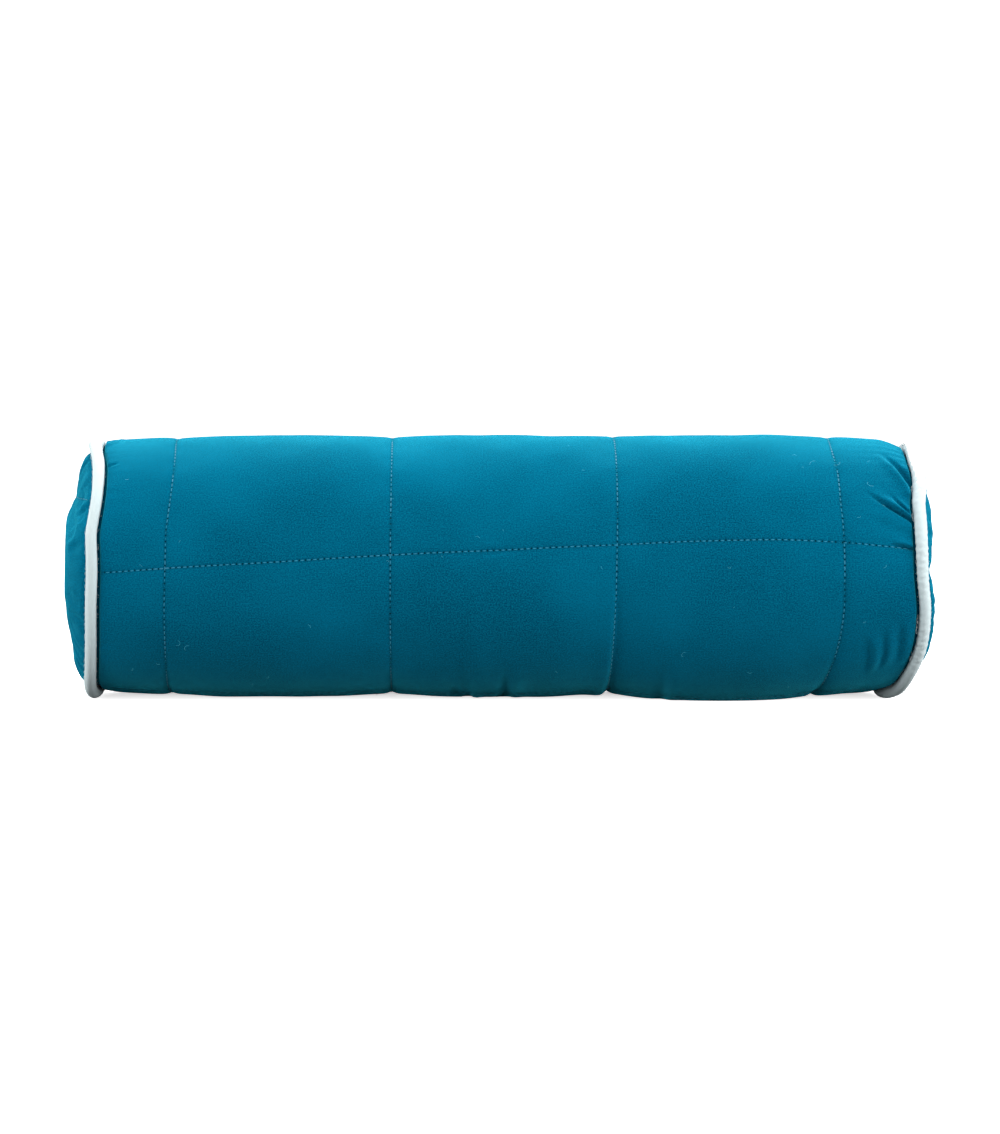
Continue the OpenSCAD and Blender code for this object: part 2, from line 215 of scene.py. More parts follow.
def face_outwards(obj: bpy.types.Object) -> None:
    """Turn every face outwards, judged by the face that is farthest from the middle.

    Args:
        obj: a closed piece, or a skin with open edges.
    """
    only(obj)
    bpy.ops.object.mode_set(mode="EDIT")
    bpy.ops.mesh.select_all(action="SELECT")
    bpy.ops.mesh.normals_make_consistent(inside=False)
    bpy.ops.object.mode_set(mode="OBJECT")
    centre = np.zeros(len(obj.data.polygons) * 3)
    normal = np.zeros_like(centre)
    obj.data.polygons.foreach_get("center", centre)
    obj.data.polygons.foreach_get("normal", normal)
    away = centre.reshape(-1, 3) - centre.reshape(-1, 3).mean(0)
    far = int(np.argmax((away**2).sum(1)))
    if away[far] @ normal.reshape(-1, 3)[far] < 0:
        bpy.ops.object.mode_set(mode="EDIT")
        bpy.ops.mesh.select_all(action="SELECT")
        bpy.ops.mesh.flip_normals()
        bpy.ops.object.mode_set(mode="OBJECT")


def solidify(obj: bpy.types.Object, thickness: float) -> None:
    """Give a skin its cloth thickness, inwards from the skin.

    Args:
        obj: the skin, facing outwards.
        thickness: in millimetres.
    """
    face_outwards(obj)
    wall = obj.modifiers.new("thickness", "SOLIDIFY")
    wall.thickness = thickness * MM
    wall.offset = -1.0
    wall.use_even_offset = False
    apply_all(obj)


def grid_faces(rows: int, columns: int, closed: bool) -> np.ndarray:
    """Number the faces of a grid of points.

    Args:
        rows: how many rows of points.
        columns: how many points in a row.
        closed: whether each row closes on itself.

    Returns:
        Four corners for each face.
    """
    across = columns if closed else columns - 1
    i, j = np.meshgrid(np.arange(rows - 1), np.arange(across), indexing="ij")
    k = (j + 1) % columns
    return np.stack(
        [i * columns + j, i * columns + k, (i + 1) * columns + k, (i + 1) * columns + j], axis=-1
    ).reshape(-1, 4)


# ---------------------------------------------------------------- finishes


class Weave(Enum):
    """How a cloth's threads cross, as (thread spacing in mm, relief)."""

    PLAIN = (0.42, 1.0)
    FINE = (0.3, 0.6)
    RIBBED = (0.7, 1.6)


class Nodes:
    """Builds one node material."""

    def __init__(self, name: str) -> None:
        """Start a material with one Principled shader."""
        self.material = bpy.data.materials.new(name)
        self.material.use_nodes = True
        self.tree = self.material.node_tree
        self.shader = self.tree.nodes["Principled BSDF"]

    def add(self, kind: str, inputs: dict | None = None, **settings: object) -> bpy.types.Node:
        """Add a node.

        Args:
            kind: the node's type name without its common start.
            inputs: socket name or number to a value, or to another node's output.
            settings: the node's own properties.

        Returns:
            The node.
        """
        node = self.tree.nodes.new("ShaderNode" + kind)
        for key, value in settings.items():
            setattr(node, key, value)
        for key, value in (inputs or {}).items():
            if isinstance(value, bpy.types.NodeSocket):
                self.tree.links.new(value, node.inputs[key])
            else:
                node.inputs[key].default_value = value
        return node

    def maths(self, operation: str, a: object, b: object = 0.0) -> bpy.types.NodeSocket:
        """Combine two values or sockets by a Math node."""
        return self.add("Math", {0: a, 1: b}, operation=operation).outputs[0]

    def mix(self, share: object, first: object, second: object) -> bpy.types.NodeSocket:
        """Mix two colours by a share from 0 to 1."""
        node = self.add("Mix", data_type="RGBA", blend_type="MIX")
        for index, value in ((0, share), (6, first), (7, second)):
            if isinstance(value, bpy.types.NodeSocket):
                self.tree.links.new(value, node.inputs[index])
            else:
                node.inputs[index].default_value = value
        return node.outputs[2]

    def spread(self, value: object, low: float, high: float) -> bpy.types.NodeSocket:
        """Stretch the part of a value between low and high to 0 to 1."""
        node = self.add("MapRange", {0: value, 1: low, 2: high, 3: 0.0, 4: 1.0})
        return node.outputs[0]

    def noise(self, where: object, scale: float, detail: float = 3.0, rough: float = 0.55) -> object:
        """Read a noise texture at a place."""
        return self.add(
            "TexNoise", {"Vector": where, "Scale": scale, "Detail": detail, "Roughness": rough}
        ).outputs[0]

    def bands(self, where: object, spacing: float, direction: str) -> object:
        """Read level bands, one for each thread, whose places are in millimetres."""
        return self.add(
            "TexWave", {"Vector": where, "Scale": math.pi / 10 / spacing, "Distortion": 0.0},
            wave_type="BANDS", bands_direction=direction, wave_profile="SIN",
        ).outputs["Fac"]

    def place(self, uv: str | None) -> bpy.types.NodeSocket:
        """Coordinates in millimetres: a UV map's, or the object's own."""
        if uv:
            return self.add("UVMap", uv_map=uv).outputs[0]
        own = self.add("TexCoord").outputs["Object"]
        return self.add("Mapping", {"Vector": own, "Scale": (1000.0,) * 3}).outputs[0]

    def bump(self, height: object, distance: float, strength: float, under: object = None) -> object:
        """Turn a height into a normal, over another normal where one is given."""
        node = self.add("Bump", {"Height": height, "Distance": distance * MM, "Strength": strength})
        if under is not None:
            self.tree.links.new(under, node.inputs["Normal"])
        return node.outputs[0]

    def dress(self, colour: object, rough: object, normal: object, **constants: object) -> None:
        """Connect the shader.

        Args:
            colour: the base colour's socket.
            rough: the roughness, as a socket or a number.
            normal: the normal's socket.
            constants: other sockets of the shader, with underscores for spaces.
        """
        for key, value in (("Base Color", colour), ("Roughness", rough), ("Normal", normal)):
            if isinstance(value, bpy.types.NodeSocket):
                self.tree.links.new(value, self.shader.inputs[key])
            else:
                self.shader.inputs[key].default_value = value
        for key, value in constants.items():
            self.shader.inputs[key.replace("_", " ")].default_value = value


@dataclass(frozen=True)
class Cloth:
    """A woven cloth: two sets of crossing threads, slubs, and soft wear."""

    name: str
    colour: tuple[float, float, float]
    weave: Weave = Weave.PLAIN
    shade: float = 0.72
    lift: tuple[float, float, float] | None = None
    rough: float = 0.92
    sheen: float = 0.12
    sheen_colour: tuple[float, float, float] = (1.0, 1.0, 1.0)
    uv: str | None = None
    # Whether the cloth gets needle holes painted nearly black as shade, and painted shade beside its stitch
    # lines.
    needle_holes_and_groove_shade: bool = False
    stitch_pitch: float = 3.5
    grain: float = 1.0

    def hole_mask(self, m: Nodes, uv: str) -> object:
        """Needle holes between the stitches of one family of lines, where the cloth is painted nearly black
        as shade.

        Args:
            m: the material being built.
            uv: the UV map whose u runs along the line and v away from it.

        Returns:
            A socket that is 1 in a hole.
        """
        parts = m.add("SeparateXYZ", {0: m.add("UVMap", uv_map=uv).outputs[0]})
        phase = m.maths("FRACT", m.maths("DIVIDE", parts.outputs[0], self.stitch_pitch))
        near_end = m.maths("ABSOLUTE", m.maths("SUBTRACT", phase, 0.5))
        hole = m.spread(near_end, 0.36, 0.45)
        aside = m.maths("ABSOLUTE", parts.outputs[1])
        return m.maths("MULTIPLY", hole, m.spread(aside, 0.75, 0.3))

    def groove_shade_mask(self, m: Nodes, uv: str) -> object:
        """The strip beside a line of stitches where little light gets in."""
        parts = m.add("SeparateXYZ", {0: m.add("UVMap", uv_map=uv).outputs[0]})
        aside = m.maths("ABSOLUTE", parts.outputs[1])
        return m.spread(aside, 1.5, 0.1)

    def build(self) -> bpy.types.Material:
        """Make the material.

        Returns:
            The material, with colour, roughness, weave relief and fuzz from its nodes.
        """
        m = Nodes(self.name)
        where = m.place(self.uv)
        spacing, relief = self.weave.value
        warp = m.bands(where, spacing, "X")
        weft = m.bands(where, spacing, "Y")
        over = m.maths("MULTIPLY", warp, weft)
        cross = m.maths("SUBTRACT", m.maths("MAXIMUM", warp, weft), m.maths("MULTIPLY", over, 0.6))
        grain = m.noise(where, 1.25, 3.0, 0.7)
        slub = m.noise(m.add("Mapping", {"Vector": where, "Scale": (0.12, 1.6, 1.0)}).outputs[0], 0.9)
        cloud = m.noise(where, 0.012, 2.0)
        base = (*self.colour, 1.0)
        dark = (*(c * self.shade for c in self.colour), 1.0)
        light = (*(self.lift or tuple(min(1.0, c * 1.25) for c in self.colour)), 1.0)
        tone = m.mix(m.spread(cross, 1.0, 0.0), base, dark)
        tone = m.mix(m.maths("MULTIPLY", m.spread(grain, 0.42, 0.72), 0.75 * self.grain), tone, light)
        tone = m.mix(m.maths("MULTIPLY", m.spread(grain, 0.5, 0.28), 0.6 * self.grain), tone, dark)
        tone = m.mix(m.maths("MULTIPLY", m.spread(slub, 0.5, 0.8), 0.35), tone, light)
        tone = m.mix(m.maths("MULTIPLY", m.spread(cloud, 0.4, 0.65), 0.3), tone, light)
        rough = m.add(
            "MapRange", {0: grain, 1: 0.3, 2: 0.7, 3: self.rough - 0.08, 4: min(1.0, self.rough + 0.05)}
        ).outputs[0]
        height = m.maths("ADD", m.maths("MULTIPLY", cross, relief), m.maths("MULTIPLY", grain, 1.4))
        normal = m.bump(height, 0.12, 0.55)
        if self.needle_holes_and_groove_shade:
            holes = m.maths("MAXIMUM", self.hole_mask(m, "hoops"), self.hole_mask(m, "rows"))
            sunk = m.maths("MAXIMUM", self.groove_shade_mask(m, "hoops"), self.groove_shade_mask(m, "rows"))
            hidden = (*(c * 0.08 for c in self.colour), 1.0)
            # Painted shade: the strip beside each line of stitches is darkened.
            tone = m.mix(m.maths("MULTIPLY", sunk, 0.35), tone, dark)
            # Painted shade: each needle hole is painted nearly black; its dent comes from the bump below.
            tone = m.mix(m.maths("MULTIPLY", holes, 0.94), tone, hidden)
            normal = m.bump(m.maths("MULTIPLY", holes, -1.0), 0.5, 0.8, normal)
        m.dress(
            tone, rough, normal, Sheen_Weight=self.sheen, Sheen_Roughness=0.4,
            Sheen_Tint=(*self.sheen_colour, 1.0), Specular_IOR_Level=0.0,
        )
        return m.material


@dataclass(frozen=True)
class Thread:
    """A twisted thread or cord."""

    name: str
    colour: tuple[float, float, float]
    twist: float = 0.5
    uv: str | None = None

    def build(self) -> bpy.types.Material:
        """Make the material, with the plies of the twist as bands and fine hairs as noise."""
        m = Nodes(self.name)
        where = m.place(self.uv)
        turned = m.add("Mapping", {"Vector": where, "Rotation": (0.0, 0.0, 0.6)}).outputs[0]
        ply = m.bands(turned, self.twist, "X")
        hair = m.noise(where, 3.0, 3.0)
        base = (*self.colour, 1.0)
        dark = (*(c * 0.55 for c in self.colour), 1.0)
        light = (*(min(1.0, c * 1.3) for c in self.colour), 1.0)
        tone = m.mix(m.spread(ply, 0.45, 0.0), base, dark)
        tone = m.mix(m.maths("MULTIPLY", m.spread(hair, 0.45, 0.75), 0.5), tone, light)
        rough = m.add("MapRange", {0: hair, 1: 0.3, 2: 0.7, 3: 0.55, 4: 0.8}).outputs[0]
        normal = m.bump(m.maths("ADD", ply, hair), 0.1, 0.6)
        m.dress(tone, rough, normal, Sheen_Weight=0.15, Specular_IOR_Level=0.2)
        return m.material


@dataclass(frozen=True)
class Fibre:
    """Loose fibre: soft clumps with fine strands over them."""

    name: str
    colour: tuple[float, float, float]
    clump: float = 0.08

    def build(self) -> bpy.types.Material:
        """Make the material from clumps, strands and shadowed hollows."""
        m = Nodes(self.name)
        where = m.place(None)
        clumps = m.noise(where, self.clump, 5.0, 0.6)
        strands = m.noise(m.add("Mapping", {"Vector": where, "Scale": (0.3, 2.0, 1.0)}).outputs[0], 1.1)
        base = (*self.colour, 1.0)
        dark = (*(c * 0.78 for c in self.colour), 1.0)
        tone = m.mix(m.spread(clumps, 0.6, 0.35), base, dark)
        tone = m.mix(m.maths("MULTIPLY", m.spread(strands, 0.6, 0.4), 0.3), tone, dark)
        rough = m.add("MapRange", {0: strands, 1: 0.3, 2: 0.7, 3: 0.85, 4: 1.0}).outputs[0]
        height = m.maths("ADD", m.maths("MULTIPLY", clumps, 3.0), strands)
        m.dress(tone, rough, m.bump(height, 0.8, 0.7), Sheen_Weight=0.3, Specular_IOR_Level=0.1)
        return m.material


@dataclass(frozen=True)
class Moulded:
    """A hard finish: moulded plastic, or plated metal."""

    name: str
    colour: tuple[float, float, float]
    metal: float = 0.0
    rough: float = 0.35

    def build(self) -> bpy.types.Material:
        """Make the material, with handling marks in its gloss and a faint cast texture."""
        m = Nodes(self.name)
        where = m.place(None)
        marks = m.noise(m.add("Mapping", {"Vector": where, "Scale": (0.4, 2.5, 2.5)}).outputs[0], 0.8)
        cast = m.noise(where, 1.6, 4.0)
        base = (*self.colour, 1.0)
        worn = (*(c * 0.8 for c in self.colour), 1.0)
        tone = m.mix(m.maths("MULTIPLY", m.spread(marks, 0.45, 0.7), 0.6), base, worn)
        rough = m.add(
            "MapRange", {0: marks, 1: 0.3, 2: 0.7, 3: self.rough, 4: self.rough + 0.18}
        ).outputs[0]
        m.dress(tone, rough, m.bump(cast, 0.05, 0.35), Metallic=self.metal)
        return m.material


TEAL = (0.0001, 0.064, 0.122)
TEAL_LIFT = (0.0003, 0.126, 0.222)
FACE_SHEEN = (0.05, 0.74, 0.95)

FINISHES = {
    "face_cotton": Cloth(
        "teal_face_cotton", TEAL, lift=TEAL_LIFT, sheen=0.43, sheen_colour=FACE_SHEEN,
        shade=0.5, uv="weave", needle_holes_and_groove_shade=True, grain=1.3,
    ),
    "end_cotton": Cloth(
        "teal_end_panel_cotton", TEAL, lift=TEAL_LIFT, sheen=0.43, sheen_colour=FACE_SHEEN,
        shade=0.5, uv="weave", needle_holes_and_groove_shade=True, grain=1.3,
    ),
    "lining_cotton": Cloth("teal_lining_cotton", (0.002, 0.09, 0.17), Weave.FINE),
    "piping_cotton": Cloth(
        "pale_piping_cotton", (0.43, 0.505, 0.52), Weave.FINE, shade=0.9,
        lift=(0.5, 0.575, 0.58), sheen=0.0, uv="weave", grain=0.55,
    ),
    "casing_cotton": Cloth("plain_casing_cotton", (0.86, 0.84, 0.78), Weave.FINE, shade=0.85),
    "zip_tape": Cloth("teal_zip_tape", (0.003, 0.10, 0.18), Weave.RIBBED),
    # The sewing thread is painted lighter than the face cloth as a sheen highlight.
    "sewing_thread": Thread("teal_sewing_thread_painted_sheen", (0.004, 0.165, 0.27), 0.5, "weave"),
    "hidden_thread": Thread("teal_seam_thread", (0.01, 0.27, 0.40), 0.5),
    "lint": Thread("pale_teal_lint", (0.05, 0.38, 0.5), 0.5),
    "frays": Thread("pale_seam_frays", (0.62, 0.7, 0.72), 0.5),
    "casing_thread": Thread("white_casing_thread", (0.85, 0.85, 0.83), 0.4),
    "piping_cord": Thread("white_piping_cord", (0.84, 0.83, 0.78), 3.0),
    "wadding": Fibre("white_wadding", (0.88, 0.88, 0.85), 0.15),
    "filling_fibre": Fibre("polyester_fibre", (0.92, 0.92, 0.9), 0.06),
    "zip_teeth": Moulded("teal_moulded_teeth", (0.005, 0.16, 0.27), 0.0, 0.38),
    "zip_metal": Moulded("plated_zip_metal", (0.62, 0.63, 0.64), 1.0, 0.24),
}


# ---------------------------------------------------------------- the bolster's shape


@dataclass(frozen=True)
class Fold:
    """A crease in the cloth: a groove along a line, with a soft ridge to the left of it."""

    line: tuple[tuple[float, float], ...]
    depth: float
    width: float
    ridge: float = 0.0
    ridge_width: float = 1.5
    start: float = 0.35
    end: float = 0.001

    def height(self, station: np.ndarray, angle: np.ndarray, radius: float) -> np.ndarray:
        """How far the crease moves the cloth outwards.

        Args:
            station: places along the bolster.
            angle: places round it.
            radius: the barrel's radius, which turns angles into lengths.

        Returns:
            The heights, which are negative in the groove.
        """
        arc = math.radians(1.0) * radius
        px, pa = np.asarray(station, float), wrapped(angle) * arc
        lengths = [
            math.dist((a[0], a[1] * arc), (b[0], b[1] * arc)) for a, b in zip(self.line, self.line[1:])
        ]
        total = sum(lengths)
        best = np.full(np.broadcast(px, pa).shape, 1e9)
        side = np.zeros_like(best)
        along = np.zeros_like(best)
        done = 0.0
        for (a, b), length in zip(zip(self.line, self.line[1:]), lengths):
            dx, da = (b[0] - a[0]) / length, (b[1] - a[1]) * arc / length
            t = np.clip((px - a[0]) * dx + (pa - a[1] * arc) * da, 0.0, length)
            ex, ea = px - a[0] - t * dx, pa - a[1] * arc - t * da
            gap = np.hypot(ex, ea)
            nearer = gap < best
            best = np.where(nearer, gap, best)
            side = np.where(nearer, dx * ea - da * ex, side)
            along = np.where(nearer, (done + t) / total, along)
            done += length
        strength = smooth_step(0.0, self.start, along) * smooth_step(1.0, 1.0 - self.end, along)
        signed = np.copysign(best, side)
        groove = -self.depth * np.exp(-((best / self.width) ** 2))
        ridge = self.ridge * np.exp(-(((signed - 1.7 * self.width) / (self.ridge_width * self.width)) ** 2))
        return strength * (groove + ridge)


@dataclass(frozen=True)
class Hoop:
    """A line of quilting round the barrel, with the small drift of a hand-guided seam."""

    station: float
    front: float = 0.0
    top: float = 0.0
    twice: float = 0.0
    nick: float = 0.5

    def at(self, angle: np.ndarray) -> np.ndarray:
        """The line's station at an angle."""
        a = np.radians(angle)
        return self.station + self.front * np.cos(a) + self.top * np.sin(a) + self.twice * np.cos(2 * a)


@dataclass(frozen=True)
class Row:
    """A line of quilting along the barrel."""

    angle: float
    drift: tuple[tuple[float, float], ...] = ((0.0, 0.0),)

    def at(self, station: np.ndarray) -> np.ndarray:
        """The line's angle at a station."""
        at = np.array([p[0] for p in self.drift])
        value = np.array([p[1] for p in self.drift])
        return self.angle + eased(at, value, station)


@dataclass
class PuffField:
    """What a cloth simulation found: how far the filling moves each place outwards."""

    stations: np.ndarray
    angles: np.ndarray
    height: np.ndarray

    def at(self, station: np.ndarray, angle: np.ndarray) -> np.ndarray:
        """Read the movement at any place.

        Args:
            station: places along the piece.
            angle: places round it.

        Returns:
            Millimetres outwards.
        """
        turn = len(self.angles)
        x, a = np.broadcast_arrays(np.asarray(station, float), np.asarray(angle, float))
        i = np.clip(np.searchsorted(self.stations, x, side="right") - 1, 0, len(self.stations) - 2)
        t = np.clip((x - self.stations[i]) / (self.stations[i + 1] - self.stations[i]), 0, 1)
        step = 360.0 / turn
        k = ((a - self.angles[0]) % 360.0) / step
        j = np.floor(k).astype(int) % turn
        s = k - np.floor(k)
        n = (j + 1) % turn
        h = self.height
        low = h[i, j] * (1 - s) + h[i, n] * s
        high = h[i + 1, j] * (1 - s) + h[i + 1, n] * s
        return low * (1 - t) + high * t


@dataclass
class BolsterShape:
    """Sizes and surfaces that every soft piece shares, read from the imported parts."""

    quilt_dip: float = 2.3
    row_dip: float = 1.1
    shoulder_l: float = 6.0
    shoulder_r: float = 73.6
    end_cell: float = 44.0
    face_t: float = 0.8
    bias_t: float = 0.5
    allowance: float = 10.0
    land_drop: float = 2.5
    zip_angle: float = 165.0
    puff: PuffField | None = None
    left_lean: tuple[tuple[float, float], ...] = (
        (-165.0, 0.5), (-120.0, 0.0), (-85.0, -2.5), (-65.0, -2.5), (-47.0, -0.4), (-29.0, 1.3),
        (-12.0, 2.1), (3.0, 2.8), (12.0, 2.6), (20.0, 2.3), (28.0, 3.5), (36.0, 4.5), (50.0, 4.5),
        (60.0, 3.6), (72.0, 1.2), (84.0, -0.3), (100.0, -0.2), (140.0, 0.0),
    )
    right_lean: tuple[tuple[float, float], ...] = (
        (-165.0, -1.0), (-125.0, -7.0), (-92.0, -10.5), (-80.0, -7.4), (-70.0, -3.4), (-60.0, -0.8),
        (-50.0, 2.0), (-42.0, 4.3), (-34.0, 6.0), (-24.0, 7.0), (-13.0, 7.0), (-2.0, 5.6),
        (12.0, 5.0), (26.0, 4.5), (34.0, 4.1), (42.0, 5.0), (50.0, 5.5), (64.0, 4.4), (80.0, 4.4),
        (95.0, 4.0), (135.0, 0.5),
    )
    crown_drift: tuple[tuple[float, float], ...] = (
        (-232.0, -1.0), (-190.0, -1.8), (-150.0, -1.2), (-112.0, 0.0), (-62.0, -0.7), (-36.0, -0.7),
        (-4.0, 0.1), (30.0, -1.0), (66.0, 0.3), (100.0, -0.3), (150.0, -0.2), (190.0, -0.6),
        (214.0, -1.2), (232.0, -2.4),
    )
    sag: tuple[float, float] = (128.0, 46.0)
    top_droop: float = 3.4
    folds: tuple[Fold, ...] = ()
    hoops: tuple[Hoop, ...] = ()
    rows: tuple[Row, ...] = ()
    barrel_r: float = field(init=False)
    axis_z: float = field(init=False)
    seam_x: float = field(init=False)
    piping_ring_r: float = field(init=False)
    piping_r: float = field(init=False)
    seam_r: float = field(init=False)

    def __post_init__(self) -> None:
        """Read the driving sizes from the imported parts' boxes."""
        low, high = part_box("barrel_face_cloth")
        strip_low, strip_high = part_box("right_piping_bias_strip")
        panel_low, panel_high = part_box("right_end_face_cloth")
        self.barrel_r = (high.y - low.y) / 2 / MM
        self.axis_z = high.z / MM - self.barrel_r
        self.piping_r = (strip_high.x - strip_low.x) / 2 / MM
        self.seam_x = (strip_high.x + strip_low.x) / 2 / MM
        self.piping_ring_r = (strip_high.z - strip_low.z) / 2 / MM - self.piping_r
        self.seam_r = (panel_high.z - panel_low.z) / 2 / MM
        self.tip_x = panel_high.x / MM

    @property
    def shoulder_x(self) -> float:
        """Where the barrel starts to round over to its seam."""
        return self.seam_x - self.shoulder_l

    @property
    def foot_x(self) -> float:
        """Where the rounded shoulder meets the piping."""
        return self.seam_x - self.piping_r - 1.0

    @property
    def land_h(self) -> float:
        """Height of the flat land round the zip, above the axis."""
        return self.barrel_r - self.land_drop

    def envelope(self, x: np.ndarray) -> np.ndarray:
        """Radius of the barrel without its quilting, from shoulder to shoulder."""
        hoop = self.seam_x - self.end_cell
        t = np.clip((np.abs(x) - hoop) / (self.shoulder_x - hoop), 0.0, 1.0)
        end = self.barrel_r - self.quilt_dip - (self.barrel_r - self.quilt_dip - self.shoulder_r) * t
        return end + 1.2 * (1 - np.abs(2 * t - 1) ** 3) * (t > 0) + self.quilt_dip * (1 - t) ** 2

    @staticmethod
    def crease(d: np.ndarray, sharp: float, broad: float) -> np.ndarray:
        """Section of a stitched line: sharp at the thread, with soft sides."""
        near = np.sqrt(d * d + 0.3) - 0.5
        return 0.32 * np.exp(-near / sharp) + 0.68 * np.exp(-((d / broad) ** 2))

    def off_zip(self, a: np.ndarray) -> np.ndarray:
        """1 away from the zip's land, falling to 0 on it."""
        return smooth_step(11.0, 34.0, np.abs(wrapped(a - self.zip_angle)))

    def under(self, a: np.ndarray) -> np.ndarray:
        """1 on the underside, falling to 0 by the front and the back."""
        return np.exp(-((wrapped(a + 90.0) / 38.0) ** 2))

    def lumps(self, x: np.ndarray, a: np.ndarray) -> np.ndarray:
        """Slow unevenness of the filling."""
        r = np.radians(a)
        return (
            0.14 * np.sin(x / 31.0 + 1.7 * np.sin(2 * r + 0.6)) * np.cos(3 * r + 0.8)
            + 0.09 * np.sin(x / 17.0 + 2.2 + np.cos(r)) * np.sin(4 * r - 0.5)
            + 0.04 * np.sin(x / 9.5 + 3 * np.sin(r)) * np.sin(7 * r + x / 40.0)
        )

    def gathers(self, x: np.ndarray, a: np.ndarray) -> np.ndarray:
        """Small ripples where the barrel is eased into its end seams."""
        r = np.radians(a)
        wander = np.sin(5 * r + 1.0) + 0.7 * np.sin(11 * r)
        left = np.exp(-np.abs(x + self.foot_x) / 7.0) * (np.sin(46 * r + 2.4 * wander) + 0.6 * np.sin(71 * r))
        near_right = np.exp(-np.abs(x - self.foot_x) / 13.0)
        right = near_right * (np.sin(38 * r + 3.0 * wander) + 0.7 * np.sin(67 * r))
        return 0.12 * left + 0.14 * right

    def puckers(self, along: np.ndarray, d: np.ndarray) -> np.ndarray:
        """Ripples that each stitch pulls into the cloth beside its line."""
        wave = np.sin(along / 5.2 + 1.3 * np.sin(along / 23.0)) + 0.6 * np.sin(along / 2.9 + 0.7)
        return 0.14 * wave * np.exp(-np.abs(np.abs(d) - 2.5) / 4.5)

    def skin(self, x: np.ndarray, a: np.ndarray, fine: bool = True) -> np.ndarray:
        """Radius of the face cloth's outside between its shoulders.

        Args:
            x: stations.
            a: angles.
            fine: whether creases, ripples and the simulated puff are in it.

        Returns:
            Radii in millimetres.
        """
        x, a = np.broadcast_arrays(np.asarray(x, float), np.asarray(a, float))
        off = self.off_zip(a)
        r = self.envelope(x)
        r = r + self.lumps(x, a) * off
        r = r + 0.5 * long_curve(self.crown_drift, x) * np.clip(np.sin(np.radians(a)), 0, 1) * off
        sag = np.exp(-(((x - self.sag[0]) / self.sag[1]) ** 2))
        r = r + sag * 1.2 * self.under(a) - 3.4 * (1 - sag) * self.under(a)
        for hoop in self.hoops:
            d = x - hoop.at(a)
            r = r - self.quilt_dip * self.crease(d, 2.0, 24.0) * (1 + 0.2 * self.under(a))
            r = r - hoop.nick * np.exp(-((d / 2.6) ** 2)) * self.under(a)
            if fine:
                r = r + self.puckers(a * 1.36 + hoop.station, d) * off
        for row in self.rows:
            d = wrapped(a - row.at(x)) * math.radians(1.0) * self.barrel_r
            r = r - self.row_dip * self.crease(d, 2.0, 15.0) * off
            if fine:
                r = r + self.puckers(x + 3 * row.angle, d) * off
        if fine:
            ledge = x - self.hoops[2].at(a)
            low = smooth_step(8.0, -14.0, wrapped(a)) * smooth_step(-120.0, -80.0, wrapped(a))
            r = r - 1.0 * low * np.tanh(ledge / 0.9) * np.exp(-((ledge / 9.0) ** 2))
            r = r + self.gathers(x, a) * off
            for fold in self.folds:
                r = r + fold.height(x, a, self.barrel_r)
            if self.puff is not None:
                r = r + self.puff.at(x, a) * off
        d = wrapped(a - self.zip_angle) * math.radians(1.0) * self.barrel_r
        past_zip = smooth_step(self.seam_x - 53.5, self.seam_x - 49.0, np.abs(x))
        r = r - 1.0 * past_zip * np.exp(-((d / 1.3) ** 2))
        level = np.cos(np.radians(wrapped(a - self.zip_angle)))
        return np.where(level > 0.5, np.minimum(r, self.land_h / np.maximum(level, 0.5)), r)

    def lean(self, x: np.ndarray, a: np.ndarray) -> np.ndarray:
        """How far the end seams wander along the bolster, shared by all that is sewn into them."""
        right = smooth_step(148.0, self.seam_x - 3.0, x) * (round_curve(self.right_lean, a) - 0.5)
        left = smooth_step(-148.0, 3.0 - self.seam_x, x) * (round_curve(self.left_lean, a) + 0.4)
        return right + left

    def seat(self, x: np.ndarray, a: np.ndarray, r: np.ndarray, depth: float = 0.0) -> np.ndarray:
        """Turn places on the bolster into points in space.

        Args:
            x: stations.
            a: angles.
            r: radii.
            depth: how far under the outside the layer lies, where it rests on a surface.

        Returns:
            Points in metres, one row each; none is lower than the depth.
        """
        x, a, r = np.broadcast_arrays(
            np.asarray(x, float), np.asarray(a, float), np.asarray(r, float)
        )
        inner = smooth_step(38.0, self.seam_r, r)
        droop = self.top_droop * np.exp(-((wrapped(a - 90.0) / 34.0) ** 2))
        r = r - droop * smooth_step(212.0, 234.0, x) * inner
        c, s = np.cos(np.radians(a)), np.sin(np.radians(a))
        z = self.axis_z + r * s - depth
        z = depth + 0.5 * (z + np.sqrt(z * z + 0.35))
        return np.stack([x + self.lean(x, a) * inner, -r * c, z], axis=-1) * MM


